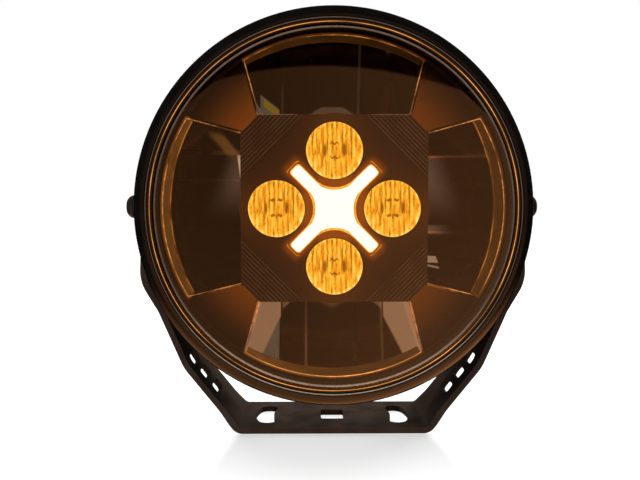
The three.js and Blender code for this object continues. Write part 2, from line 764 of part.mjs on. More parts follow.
function driverCover() {
  const disc = turned([
    [0, COVER_FRONT],
    [COVER_RADIUS - 0.2, COVER_FRONT],
    [COVER_RADIUS - 0.2, COVER_BACK - 1],
    [COVER_RADIUS - 1.2, COVER_BACK],
    [0, COVER_BACK],
  ], 48);
  const ventHole = ring(0, VENT.stem + 0.4, 30, BEHIND).translate([VENT.x, 0, VENT.z]);
  return withCoverHoles(disc).subtract(ventHole);
}

function breatherVent() {
  const cap = turned([
    [0, COVER_FRONT - 0.5],
    [VENT.stem, COVER_FRONT - 0.5],
    [VENT.stem, COVER_BACK + 0.1],
    [VENT.cap, COVER_BACK + 0.1],
    [VENT.cap, COVER_BACK + 2.4],
    [VENT.cap - 1.4, COVER_BACK + 3.6],
    [0, COVER_BACK + 3.6],
  ], 24);
  return cap.translate([VENT.x, 0, VENT.z]);
}

// A pan-head screw about Y with its head towards +Y and a cross recess.
function panScrew(shankRadius, tip, seat, headRadius, headHeight) {
  const screw = turned([
    [0, tip],
    [shankRadius, tip],
    [shankRadius, seat],
    [headRadius, seat],
    [headRadius, seat + headHeight * 0.45],
    [headRadius * 0.7, seat + headHeight],
    [0, seat + headHeight],
  ], TINY);
  const arm = headRadius * 0.55;
  const floor = seat + headHeight * 0.35;
  const recess = union(
    block([-arm, arm], [floor, seat + 10], [-0.5, 0.5]),
    block([-0.5, 0.5], [floor, seat + 10], [-arm, arm]),
  );
  return screw.subtract(recess);
}

piece("driver_cover", driverCover(), "castHousing");
const gasket = ring(DRIVER_RADIUS + 0.6, COVER_RADIUS - 0.6, FIN_BACK + 0.1, COVER_FRONT - 0.1, 48);
piece("cover_gasket", withCoverHoles(gasket), "rubber");
piece("breather_vent", breatherVent(), "nylon");
coverScrewPlaces().forEach(([x, z], index) => {
  const seat = COVER_BACK + 0.1;
  const screw = panScrew(SCREW.cover, 33, seat, SCREW.headRadius, SCREW.headHeight);
  piece(`cover_screw_${index + 1}`, screw, "zinc").position.set(x, 0, z);
});
bezelScrewAngles().forEach((angle, index) => {
  const screw = panScrew(SCREW.bezel, -40.2, FLANGE_FRONT + 5.1, 3.1, 2.3);
  const mesh = piece(`bezel_screw_${index + 1}`, screw, "blackSteel");
  const turn = THREE.MathUtils.degToRad(angle);
  mesh.position.set(BEZEL_SCREW_CIRCLE * Math.cos(turn), 0, -BEZEL_SCREW_CIRCLE * Math.sin(turn));
});

// ---- Cable, gland and plug ------------------------------------------------

// The gland and its nut are made about Y, then turned to hang down from the chamber.
function cableGland() {
  const bore = ring(0, CABLE_RADIUS + 0.3, 20, 80);
  const thread = ring(0, 6, 35, 45);
  const hex = ring(0, 8.4, 43, 47.5, 6).rotate([0, 30, 0]);
  return hanging(union(thread, hex).subtract(bore));
}

function glandNut() {
  const cap = turned([
    [CABLE_RADIUS + 0.3, 47.8],
    [7.5, 47.8],
    [7.5, 54],
    [6.4, 57.5],
    [5, 58.5],
    [CABLE_RADIUS + 0.3, 58.5],
  ], TINY);
  return hanging(cap);
}

function cablePath() {
  const stops = [
    [0, GLAND_DEPTH, -36],
    [0, GLAND_DEPTH, -50],
    [0, GLAND_DEPTH + 0.5, -62],
    [3, 37, -73],
    [13, 45, -81],
    [28, 49, -82],
    [45, 50, -72],
    [57, 50.5, -55],
    [61.5, 51.5, -36],
    [PLUG.x, PLUG.y, PLUG.bottom + 2],
  ];
  return new THREE.CatmullRomCurve3(stops.map((stop) => new THREE.Vector3(...stop)));
}

const CLIP_STOP = 8 / 9; // the last stop but one, as a share of the path

function cable() {
  const options = { steps: 36, bevelEnabled: false, extrudePath: cablePath(), curveSegments: 4 };
  return solid(new THREE.ExtrudeGeometry(circle(0, 0, CABLE_RADIUS), options));
}

// A saddle over the cable with a tab that a screw holds to the boss on the housing.
function cableClip() {
  const path = cablePath();
  const centre = path.getPoint(CLIP_STOP);
  const along = path.getTangent(CLIP_STOP);
  const across = Y_AXIS.clone().cross(along).normalize();
  const away = along.clone().cross(across);
  const [bore, skin, width] = [CABLE_RADIUS + 0.5, 1.7, 8];
  const tab = CLIP_SEAT + 0.2 - centre.y;
  const reach = CLIP_SCREW.x - centre.x + 5.5;
  const shape = new THREE.Shape();
  shape.moveTo(-bore - skin, -3.4);
  shape.lineTo(-bore - skin, 0);
  shape.absarc(0, 0, bore + skin, Math.PI, 0, true);
  shape.lineTo(bore + skin, tab + skin);
  shape.lineTo(reach, tab + skin);
  shape.lineTo(reach, tab);
  shape.lineTo(bore, tab);
  shape.lineTo(bore, 0);
  shape.absarc(0, 0, bore, 0, Math.PI);
  shape.lineTo(-bore, -3.4);
  shape.closePath();
  const start = centre.clone().addScaledVector(along, -width / 2);
  const strip = prism(shape, width, [across, away, along], start.toArray(), 5);
  return strip.subtract(atClipScrew(ring(0, SCREW.clip + 0.4, 30, BEHIND, TINY)));
}

// A box about the plug's middle.
function plugBlock(halfWidth, halfDepth, heights) {
  const width = [PLUG.x - halfWidth, PLUG.x + halfWidth];
  return block(width, [PLUG.y - halfDepth, PLUG.y + halfDepth], heights);
}

// Drawn from the top down, so that the shell's section faces the right way.
function plugBody() {
  const outline = roundedRectangle(20, 15.6, 2.5);
  const downwards = [X_AXIS, Y_AXIS.clone().negate(), Z_AXIS.clone().negate()];
  const shell = prism(outline, PLUG.top - PLUG.bottom, downwards, [PLUG.x, PLUG.y + 0.2, PLUG.top]);
  const socket = plugBlock(7.5, 5.2, [PLUG.top - 12, 60]);
  const entry = plugBlock(7, 5, [-60, PLUG.bottom + 8]);
  const grips = [-4, 0, 4].map((z) => block([0, PLUG.x - 9.3], [0, 80], [z + 4, z + 6]));
  return shell.subtract(union(socket, entry, ...grips));
}

function plugWedge() {
  const wedge = plugBlock(7.1, 4.8, [PLUG.top - 11.7, PLUG.top - 4]);
  const ways = [-3.4, 3.4].map((x) =>
    alongZ(ring(0, 1.6, -60, 60, TINY)).translate([PLUG.x + x, PLUG.y, 0]),
  );
  return wedge.subtract(union(...ways));
}

function plugSeal() {
  const seal = plugBlock(6.7, 4.7, [PLUG.bottom + 0.5, PLUG.bottom + 7.7]);
  const entry = alongZ(ring(0, CABLE_RADIUS + 0.4, -60, 60)).translate([PLUG.x, PLUG.y, 0]);
  return seal.subtract(entry.intersect(block([0, 99], [0, 99], [-60, PLUG.bottom + 4])));
}

piece("cable_gland", cableGland(), "nylon");
piece("gland_nut", glandNut(), "nylon");
piece("supply_cable", cable(), "rubber");
piece("cable_clip", cableClip(), "nylon");
const clipScrew = panScrew(SCREW.clip, 34, CLIP_SEAT + 2.3, SCREW.headRadius, SCREW.headHeight);
piece("clip_screw", clipScrew, "zinc").position.set(CLIP_SCREW.x, 0, CLIP_SCREW.z);
piece("plug_body", plugBody(), "nylon");
piece("plug_wedge_lock", plugWedge(), "orangeNylon");
piece("plug_rear_seal", plugSeal(), "silicone");

// ---- Side bolts -----------------------------------------------------------

const ARM_OUTSIDE = ARM_CORNERS.at(-1).x;
const GROMMET_FLANGE = 2.8;
const WASHER_SEAT = ARM_OUTSIDE + GROMMET_FLANGE + 0.5;

// A rubber bush with a flange on each face of the arm.
function grommet() {
  const [bore, neck, flange] = [6.1, ARM_HOLE_RADIUS - 0.25, 13];
  const inner = ARM_OUTSIDE - STRAP;
  return turned([
    [bore, BOSS_FACE + 0.2],
    [flange, BOSS_FACE + 0.2],
    [flange, inner - 0.2],
    [neck, inner - 0.2],
    [neck, ARM_OUTSIDE + 0.2],
    [flange, ARM_OUTSIDE + 0.2],
    [flange, ARM_OUTSIDE + 0.2 + GROMMET_FLANGE],
    [bore, ARM_OUTSIDE + 0.2 + GROMMET_FLANGE],
  ], COARSE);
}

function springWasher(seat) {
  const split = block([0, 20], [seat - 5, seat + 5], [-0.8, 0.8]).rotate([0, 20, 0]);
  return ring(BOLT_RADIUS + 0.4, 7.2, seat, seat + 1.8).subtract(split);
}

// A button-head bolt along +Y with a hexagon socket.
function pivotBolt(seat) {
  const height = 4.4;
  const edge = 0.4;
  const [steps, sweep] = [4, 0.95];
  const dome = [];
  for (let i = 0; i <= steps; i++) {
    const angle = (i / steps) * sweep;
    const rise = ((height - edge) * Math.sin(angle)) / Math.sin(sweep);
    dome.push([BOLT_HEAD_RADIUS * Math.cos(angle), seat + edge + rise]);
  }
  const bolt = turned([
    [0, BOLT_TIP],
    [BOLT_RADIUS - 0.8, BOLT_TIP],
    [BOLT_RADIUS, BOLT_TIP + 0.8],
    [BOLT_RADIUS, seat],
    [BOLT_HEAD_RADIUS, seat],
    ...dome,
    [0, seat + height],
  ], COARSE);
  return bolt.subtract(ring(0, 2.9, seat + 1.9, seat + 10, 6));
}

// Everything here is made along +Y, then turned to point out of its side of the head.
for (const [side, turn] of [["right", -Math.PI / 2], ["left", Math.PI / 2]]) {
  const onHead = new THREE.Group();
  onHead.rotation.z = turn;
  head.add(onHead);
  const onBracket = new THREE.Group();
  onBracket.rotation.z = turn;
  onBracket.position.z = AXIS_HEIGHT;
  lamp.add(onBracket);
  piece(`arm_grommet_${side}`, grommet(), "rubber", onBracket);
  const sleeve = ring(BOLT_RADIUS + 0.3, 5.85, BOSS_FACE + 0.1, WASHER_SEAT - 0.1);
  piece(`pivot_sleeve_${side}`, sleeve, "zinc", onHead);
  const washer = ring(BOLT_RADIUS + 0.3, 12, WASHER_SEAT, WASHER_SEAT + 1.6);
  piece(`flat_washer_${side}`, washer, "blackSteel", onHead);
  piece(`spring_washer_${side}`, springWasher(WASHER_SEAT + 1.75), "blackSteel", onHead);
  piece(`pivot_bolt_${side}`, pivotBolt(WASHER_SEAT + 3.7), "blackSteel", onHead);
}

export default lamp;
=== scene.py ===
"""The looks of a round LED fog light on a bent steel strap bracket.

Shapes are built in millimetres, with x to the right seen from in front, y backwards along the lamp
axis from the side bolts, and z up. The head's shapes have z = 0 on the lamp axis, the bracket's on
the floor. piece() turns each one into metres in the row frame.
"""

import math

import bmesh
import bpy
from mathutils import Matrix, Vector


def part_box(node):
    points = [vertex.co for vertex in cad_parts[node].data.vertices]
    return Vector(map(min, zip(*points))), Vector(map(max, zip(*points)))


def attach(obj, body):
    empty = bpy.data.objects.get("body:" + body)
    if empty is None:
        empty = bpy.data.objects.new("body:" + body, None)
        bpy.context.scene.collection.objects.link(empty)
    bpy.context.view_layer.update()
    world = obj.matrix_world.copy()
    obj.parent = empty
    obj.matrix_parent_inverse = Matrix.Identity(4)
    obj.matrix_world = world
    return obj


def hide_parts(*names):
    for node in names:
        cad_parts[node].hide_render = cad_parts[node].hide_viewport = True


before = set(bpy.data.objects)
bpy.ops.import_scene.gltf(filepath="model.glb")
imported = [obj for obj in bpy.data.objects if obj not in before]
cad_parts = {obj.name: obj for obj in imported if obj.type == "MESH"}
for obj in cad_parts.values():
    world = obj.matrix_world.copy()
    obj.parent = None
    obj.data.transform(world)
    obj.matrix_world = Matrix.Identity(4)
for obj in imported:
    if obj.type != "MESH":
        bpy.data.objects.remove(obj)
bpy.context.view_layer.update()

MM = 0.001


def extent(node):
    """A CAD node's lowest and highest corner, in millimetres."""
    low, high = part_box(node)
    return low / MM, high / MM


def middle(node):
    """The middle of a CAD node's box in x and z, on the plane y = 0."""
    low, high = extent(node)
    return Vector(((low.x + high.x) / 2, 0, (low.z + high.z) / 2))


# ---- Sizes read from the frame, in millimetres -------------------------------------------------

BEZEL_LOW, BEZEL_HIGH = extent("front_bezel")
AXIS = (BEZEL_LOW.z + BEZEL_HIGH.z) / 2
RIM = (BEZEL_HIGH.x - BEZEL_LOW.x) / 2
LIP_FRONT, BEZEL_BACK = BEZEL_LOW.y, BEZEL_HIGH.y
LENS_FRONT = extent("front_lens")[0].y
PANEL_LOW, PANEL_HIGH = extent("centre_panel")
PANEL_HALF = PANEL_HIGH.x
RIDGE_FRONT, PANEL_BACK = PANEL_LOW.y, PANEL_HIGH.y
CONE_FRONT, CONE_BACK = (corner.y for corner in extent("inner_surround"))
REFLECTOR_BACK = extent("main_reflector_top")[1].y
OPTIC_LOW, OPTIC_HIGH = extent("fog_optic_right")
OPTIC_RADIUS = (OPTIC_HIGH.x - OPTIC_LOW.x) / 2
OPTIC_OFFSET = (OPTIC_HIGH.x + OPTIC_LOW.x) / 2
GUIDE_LOW, GUIDE_HIGH = extent("position_light_guide")
COVER_LOW, COVER_HIGH = extent("driver_cover")
STRAP_LOW, STRAP_HIGH = extent("mounting_bracket")
PLUG_LOW, PLUG_HIGH = extent("plug_body")

HEAD = Vector((0, 0, AXIS))
GROUND = Vector((0, 0, 0))
SIDES = ("top", "right", "bottom", "left")
DIAGONALS, QUARTERS = (45, 135, 225, 315), (0, 90, 180, 270)

# Sizes the frame doesn't state.
FINE, MEDIUM, SMALL, TINY = 160, 72, 40, 16  # Facets round a full turn.
STRAP = 3.5  # The strap's thickness.
PANEL_CHAMFER = 10.5
PANEL_FRONT = RIDGE_FRONT + 0.5
CROSS_HALF_WIDTH = 3.3
CROSS_FILLET = 16.2
CROSS_REACH = 31.8
CROSS_TIP = 2.4
WINDOW_RADIUS = 98.5
WINDOW_INNER = 42.2
FACET_EDGES = (-64, -31.4, -15.4, 15.4, 31.4, 64)
CABLE_RADIUS = 3.2
FOOT_CORNER = (57.2, 0)
ARM_CORNER = (88.3, 38.6)


# ---- Outlines ----------------------------------------------------------------------------------


def arc(centre, radius, start, end, steps):
    """Points along an arc, with angles in degrees."""
    points = []
    for i in range(steps + 1):
        angle = math.radians(start + (end - start) * i / steps)
        points.append((centre[0] + radius * math.cos(angle), centre[1] + radius * math.sin(angle)))
    return points


def circle(x, z, radius, steps=SMALL):
    return arc((x, z), radius, 0, 360, steps)[:-1]


def rounded(corners, steps=4):
    """A closed outline from (x, y) or (x, y, radius) corners, with each radius rounded off."""
    outline = []
    for i, corner in enumerate(corners):
        here = Vector(corner[:2])
        radius = corner[2] if len(corner) > 2 else 0
        before = Vector(corners[i - 1][:2]) - here
        after = Vector(corners[(i + 1) % len(corners)][:2]) - here
        if radius == 0:
            outline.append(tuple(here))
            continue
        reach = radius / math.tan(before.angle(after) / 2)
        reach = min(reach, 0.49 * before.length, 0.49 * after.length)
        start, end = here + before.normalized() * reach, here + after.normalized() * reach
        for k in range(steps + 1):
            t = k / steps
            point = start * (1 - t) ** 2 + here * 2 * t * (1 - t) + end * t**2
            outline.append(tuple(point))
    return outline


def box_outline(width, height, radius, x=0.0, z=0.0, steps=4):
    w, h = width / 2, height / 2
    signs = ((-1, -1), (1, -1), (1, 1), (-1, 1))
    return rounded([(x + w * across, z + h * up, radius) for across, up in signs], steps)


def turned_about(points, degrees):
    """The points turned anticlockwise about the origin."""
    c, s = math.cos(math.radians(degrees)), math.sin(math.radians(degrees))
    return [(x * c - z * s, x * s + z * c) for x, z in points]


def octagon(grow=0.0):
    """The centre panel: a square with its corners cut off."""
    side = PANEL_HALF + grow
    cut = PANEL_HALF - PANEL_CHAMFER + grow * math.tan(math.pi / 8)
    points = []
    for turn in range(4):
        points += turned_about([(side, -cut), (side, cut)], 90 * turn)
    return points


def cross(grow=0.0, notch_grow=0.0):
    """The crossed light guide: four diagonal arms joined by round notches, which can be deeper."""
    half, fillet, reach = CROSS_HALF_WIDTH + grow, CROSS_FILLET - grow, CROSS_REACH + grow
    centre = (fillet + half) * math.sqrt(2)
    deeper = fillet + notch_grow
    short = math.degrees(math.acos(fillet / deeper))
    points = []
    for angle in DIAGONALS:
        arm = [(0, -half), (reach, -half, CROSS_TIP), (reach, half, CROSS_TIP), (0, half)]
        points += turned_about(rounded(arm, 5)[1:-1], angle)
        notch = arc((centre, 0), deeper, 225 - short, 135 + short, 24)
        points += turned_about(notch, angle + 45)
    return points


def window_outline(grow=0.0):
    """The top reflector's window: an arc outside, a straight edge inside and two slanted sides."""
    slope = 0.29
    slant = math.hypot(1, slope)
    start = 51 - 84.3 * slope + grow * slant
    radius, inner = WINDOW_RADIUS + grow, WINDOW_INNER - grow
    along = slope * start
    z = (math.sqrt(along**2 - slant**2 * (start**2 - radius**2)) - along) / slant**2
    angle = math.degrees(math.atan2(z, start + slope * z))
    outer = arc((0, 0), radius, angle, 180 - angle, 28)
    half = start + slope * inner
    corners = [(-half, inner, 0.6), (half, inner, 0.6), (*outer[0], 0.8)]
    corners += outer[1:-1] + [(*outer[-1], 0.8)]
    return rounded(corners, 4)


# ---- Working solids ----------------------------------------------------------------------------


def working_object(bm, name="work"):
    """A closed mesh as a temporary object, with its faces pointing out."""
    bmesh.ops.recalc_face_normals(bm, faces=bm.faces)
    mesh = bpy.data.meshes.new(name)
    bm.to_mesh(mesh)
    bm.free()
    made = bpy.data.objects.new(name, mesh)
    bpy.context.scene.collection.objects.link(made)
    return made


def lathe(profile, segments=FINE):
    """A closed profile of (radius, depth) points turned about the lamp axis."""
    bm = bmesh.new()
    rings = []
    for radius, depth in profile:
        if radius < 1e-6:
            rings.append([bm.verts.new((0, depth, 0))])
            continue
        angles = [2 * math.pi * i / segments for i in range(segments)]
        points = [(radius * math.sin(a), depth, radius * math.cos(a)) for a in angles]
        rings.append([bm.verts.new(point) for point in points])
    for ring, following in zip(rings, rings[1:] + rings[:1]):
        if len(ring) == 1 and len(following) == 1:
            continue
        for i in range(segments):
            j = (i + 1) % segments
            corners = [ring[i % len(ring)], ring[j % len(ring)]]
            corners += [following[j % len(following)], following[i % len(following)]]
            bm.faces.new(list(dict.fromkeys(corners)))
    return working_object(bm)


def ring(inner, outer, front, back, edge=0.3, segments=MEDIUM):
    """A flat ring, or a disc when inner is 0, with rounded edges."""
    corners = [(inner, front, edge if inner else 0), (outer, front, edge)]
    corners += [(outer, back, edge), (inner, back, edge if inner else 0)]
    return lathe(rounded(corners, 3), segments)


def plate(outline, front, back, holes=(), bevel=0.3, steps=2):
    """An outline in XZ with holes, extruded along y, with its long edges rounded."""
    bm = bmesh.new()
    edges = []
    for loop in (outline, *holes):
        verts = [bm.verts.new((x, front, z)) for x, z in loop]
        edges += [bm.edges.new((a, b)) for a, b in zip(verts, verts[1:] + verts[:1])]
    bmesh.ops.triangle_fill(bm, use_beauty=True, use_dissolve=False, edges=edges)
    faces = bm.faces[:]
    made = bmesh.ops.extrude_face_region(bm, geom=faces)
    moved = [v for v in made["geom"] if isinstance(v, bmesh.types.BMVert)]
    bmesh.ops.translate(bm, vec=(0, back - front, 0), verts=moved)
    solid = working_object(bm)
    if bevel:
        bevelled(solid, bevel, steps)
    return solid


def block(x, y, z, bevel=0.4, steps=3):
    """A rounded block between (low, high) pairs."""
    bm = bmesh.new()
    size = Vector((x[1] - x[0], y[1] - y[0], z[1] - z[0]))
    centre = Vector((sum(x), sum(y), sum(z))) / 2
    place = Matrix.Translation(centre) @ Matrix.Diagonal((*size, 1))
    bmesh.ops.create_cube(bm, size=1, matrix=place)
    solid = working_object(bm)
    if bevel:
        bevelled(solid, bevel, steps)
    return solid


def apply_modifiers(solid):
    graph = bpy.context.evaluated_depsgraph_get()
    graph.update()
    mesh = bpy.data.meshes.new_from_object(solid.evaluated_get(graph))
    solid.modifiers.clear()
    old = solid.data
    solid.data = mesh
    bpy.data.meshes.remove(old)


def bevelled(solid, width, steps=2, angle=35):
    """Rounds every edge sharper than angle."""
    modifier = solid.modifiers.new("edges", "BEVEL")
    modifier.width = width
    modifier.segments = steps
    modifier.limit_method = "ANGLE"
    modifier.angle_limit = math.radians(angle)
    modifier.use_clamp_overlap = True
    apply_modifiers(solid)
    return solid


def combine(solid, others, operation):
    """Adds or cuts the other solids, and removes them."""
    group = bpy.data.collections.new("others")
    for other in others:
        group.objects.link(other)
    modifier = solid.modifiers.new("combine", "BOOLEAN")
    modifier.operation = operation
    modifier.operand_type = "COLLECTION"
    modifier.collection = group
    modifier.solver = "EXACT"
    apply_modifiers(solid)
    bpy.data.collections.remove(group)
    for other in others:
        bpy.data.objects.remove(other)
    return solid


def join_solids(solid, *others):
    return combine(solid, others, "UNION")


def cut(solid, *others):
    return combine(solid, others, "DIFFERENCE")


def moved(solid, x=0.0, y=0.0, z=0.0):
    solid.data.transform(Matrix.Translation((x, y, z)))
    return solid


def spun(solid, degrees, axis="Y"):
    solid.data.transform(Matrix.Rotation(math.radians(degrees), 4, axis))
    return solid


def copied(solid):
    copy = solid.copy()
    copy.data = solid.data.copy()
    bpy.context.scene.collection.objects.link(copy)
    return copy


def mirrored(solid):
    """A copy of the solid on the other side of x = 0."""
    copy = copied(solid)
    copy.data.transform(Matrix.Scale(-1, 4, (1, 0, 0)))
    copy.data.flip_normals()
    return copy


def with_mirror_image(solid):
    return [solid, mirrored(solid)]


def sideways(solid):
    """A solid made along y, turned to lie along x on the right."""
    return spun(solid, -90, "Z")


def pin(radius, front, back, x=0.0, z=0.0, segments=SMALL):
    """A plain cylinder along y."""
    return moved(ring(0, radius, front, back, 0, segments), x, 0, z)


def around_axis(make, angles):
    """One solid per angle, each turned about the lamp axis."""
    return [spun(make(), angle) for angle in angles]


def piece(solid, name, slot, material, replaces=(), origin=HEAD, smooth=32, body="lamp_head"):
    """Finishes a working solid as a named piece of the lamp."""
    solid.name = name
    solid.data.name = name
    solid.data.transform(Matrix.Scale(MM, 4))
    solid.data.materials.clear()
    solid.data.materials.append(material)
    solid.data.shade_smooth()
    solid.data.set_sharp_from_angle(angle=math.radians(smooth))
    shading = solid.modifiers.new("even_shading", "WEIGHTED_NORMAL")
    shading.keep_sharp = True
    solid.location = origin * MM
    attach(solid, body)
    if replaces:
        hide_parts(*replaces)
    return solid


# ---- Shader values -----------------------------------------------------------------------------


class Value:
    """What one output of a shader node gives. Sums and products of values add maths nodes."""

    def __init__(self, node, output=0):
        self.tree = node.id_data
        self.socket = node.outputs[output]

    def __add__(self, other):
        return maths("ADD", self, other)

    def __sub__(self, other):
        return maths("SUBTRACT", self, other)

    def __rsub__(self, other):
        return maths("SUBTRACT", other, self)

    def __mul__(self, other):
        return maths("MULTIPLY", self, other)

    def __rmul__(self, other):
        return maths("MULTIPLY", other, self)

    def __truediv__(self, other):
        return maths("DIVIDE", self, other)

    def __pow__(self, other):
        return maths("POWER", self, other)

    def __abs__(self):
        return maths("ABSOLUTE", self)


def add(tree, kind, inputs=None, **settings):
    """Adds a shader node. An input given as a Value is linked, and any other is set."""
    node = tree.nodes.new("ShaderNode" + kind)
    for key, value in settings.items():
        setattr(node, key, value)
    for key, value in (inputs or {}).items():
        socket = node.inputs[key]
        if isinstance(value, Value):
            tree.links.new(value.socket, socket)
        else:
            socket.default_value = (*value, 1) if socket.type == "RGBA" else value
    return node


def maths(operation, first, second=0.0, **settings):
    tree = (first if isinstance(first, Value) else second).tree
    return Value(add(tree, "Math", {0: first, 1: second}, operation=operation, **settings))


def ramp(value, low, high, start=0.0, end=1.0):
    """value, mapped smoothly from low..high to start..end."""
    inputs = {"Value": value, "From Min": low, "From Max": high, "To Min": start, "To Max": end}
    return Value(add(value.tree, "MapRange", inputs, interpolation_type="SMOOTHSTEP"))


def blend(share, first, second):
    """A colour that is first where share is 0 and second where it is 1."""
    return Value(add(share.tree, "Mix", {0: share, 6: first, 7: second}, data_type="RGBA"), 2)


def place(tree):
    """The shaded point's own coordinates, in metres from the piece's origin."""
    return Value(add(tree, "TexCoord"), "Object")


def apart(vector):
    """A vector's x, y and z."""
    node = add(vector.tree, "SeparateXYZ", {0: vector})
    return [Value(node, axis) for axis in range(3)]


def scaled(vector, factor):
    return Value(add(vector.tree, "VectorMath", {0: vector, 3: factor}, operation="SCALE"))


def millimetres(tree):
    """The shaded point's own x, y and z, in millimetres from the piece's origin."""
    return apart(scaled(place(tree), 1 / MM))


def distance(a, b):
    """The length of the vector (a, b)."""
    return maths("SQRT", a * a + b * b)


def noise(tree, size, detail=3.0, roughness=0.55, stretch=None):
    """Noise whose features are about size millimetres across."""
    vector = place(tree)
    if stretch:
        vector = Value(add(tree, "Mapping", {"Vector": vector, "Scale": stretch}))
    inputs = {"Vector": vector, "Scale": 1 / (size * MM), "Detail": detail, "Roughness": roughness}
    return Value(add(tree, "TexNoise", inputs))


def relief(height, strength, depth):
    """A normal bumped by a height, for a depth in metres."""
    inputs = {"Height": height, "Strength": strength, "Distance": depth}
    return Value(add(height.tree, "Bump", inputs))


def normal_depth(tree):
    """How far the surface faces back, from -1 in front to 1."""
    return apart(Value(add(tree, "NewGeometry"), "Normal"))[1]


def colour_ramp(value, stops):
    """A colour picked by value from (position, colour) stops."""
    node = add(value.tree, "ValToRGB", {0: value})
    ends = node.color_ramp.elements
    for i, (position, colour) in enumerate(stops):
        stop = ends[i] if i < 2 else ends.new(position)
        stop.position, stop.color = position, (*colour, 1)
    return Value(node)


def camera_share(tree, elsewhere):
    """One as the camera sees a light, and elsewhere as mirrors and other surfaces do."""
    return ramp(Value(add(tree, "LightPath"), "Is Camera Ray"), 0, 1, elsewhere, 1)


def new_material(name):
    material = bpy.data.materials.new(name)
    material.use_nodes = True
    material.node_tree.nodes.clear()
    return material, material.node_tree


def ended(material, inputs, kind="BsdfPrincipled"):
    """Ends a material in a shader with these inputs."""
    shader = Value(add(material.node_tree, kind, inputs))
    add(material.node_tree, "OutputMaterial", {0: shader})
    return material


# ---- Materials ---------------------------------------------------------------------------------

WHITE = (1.0, 1.0, 1.0)
AMBER = (1.0, 0.24, 0.01)
GRAIN_DEPTH = 0.0001
WEAR_RADIUS = 0.0006
RIDGE_COUNT = 9
RIDGE_PITCH = 1.9
RIDGE_WIDTH = 1.25
# The outermost ridge's far side, along the diagonal.
RIDGE_START = (2 * PANEL_HALF - PANEL_CHAMFER) / math.sqrt(2) - 0.9
FLUTE_PITCH = 2.7


def surface(name, colour, roughness, metallic=0.0, grain=0.4, bump=0.15, variation=0.25,
            wear=None, specular=0.5, stretch=None):
    """A solid finish: blotchy colour and roughness, a fine grain, and wear on the edges."""
    material, tree = new_material(name)
    patches = noise(tree, 14, 4)
    dark = tuple(c * (1 - variation) for c in colour)
    light = tuple(min(1.0, c * (1 + variation)) for c in colour)
    base = blend(ramp(patches, 0.3, 0.7), dark, light)
    grains = noise(tree, grain, 2, stretch=stretch)
    rough = ramp(patches, 0.25, 0.75, -0.05, 0.05) + roughness
    rough = maths("ADD", rough, ramp(grains, 0.3, 0.7, -0.04, 0.04), use_clamp=True)
    if wear:
        soft = Value(add(tree, "Bevel", {"Radius": WEAR_RADIUS}, samples=4))
        sharp = Value(add(tree, "NewGeometry"), "Normal")
        facing = add(tree, "VectorMath", {0: soft, 1: sharp}, operation="DOT_PRODUCT")
        scuff = ramp(Value(facing, "Value"), 0.97, 0.8) * ramp(noise(tree, 1.5), 0.42, 0.62)
        base = blend(scuff * 0.6, base, wear)
    return ended(material, {
        "Base Color": base, "Roughness": rough, "Metallic": metallic,
        "Normal": relief(grains, bump, GRAIN_DEPTH), "Coat Roughness": 0.05,
        "Specular IOR Level": specular,
    })


def glossier_below(material):
    """Lets a finish shine on the lamp's lower half and dulls it above."""
    tree = material.node_tree
    shader = next(node for node in tree.nodes if node.type == "BSDF_PRINCIPLED")
    z = millimetres(tree)[2]
    for key, below, above in (("Specular IOR Level", 0.5, 0.12), ("Coat Weight", 0.35, 0.03)):
        tree.links.new(ramp(z, -95, 0, below, above).socket, shader.inputs[key])
    return material


def lens_material():
    """Smoked bronze polycarbonate: tinted see-through, with a clear gloss and a black border."""
    material, tree = new_material("smoked_lens")
    x, _, z = millimetres(tree)
    tint = blend(noise(tree, 40, 2), (0.82, 0.75, 0.68), (0.86, 0.79, 0.72))
    tint = blend(ramp(distance(x, z), 102.0, 102.5), tint, (0.06, 0.04, 0.03))
    clear = Value(add(tree, "BsdfTransparent", {"Color": tint}))
    rough = ramp(noise(tree, 60, 1), 0.3, 0.7, 0.01, 0.03)
    gloss = Value(add(tree, "BsdfGlossy", {"Color": WHITE, "Roughness": rough}))
    # Only the surface met first reflects, so that the veil on the lens is single.
    first = 1 - Value(add(tree, "NewGeometry"), "Backfacing")
    share = Value(add(tree, "Fresnel", {"IOR": 1.5})) * first
    return ended(material, {0: share, 1: clear, 2: gloss}, "MixShader")


def inside(x, z, edges):
    """One within a convex shape, given as (a, b, c, softness) edges, and zero outside it."""
    share = 1.0
    for a, b, c, softness in edges:
        share = share * ramp(x * a + z * b, c, c + softness)
    return share


def on_both_sides(edges, colour):
    """A painted reflection and its copy across x = 0."""
    return [(edges, colour), ([(-a, *rest) for a, *rest in edges], colour)]
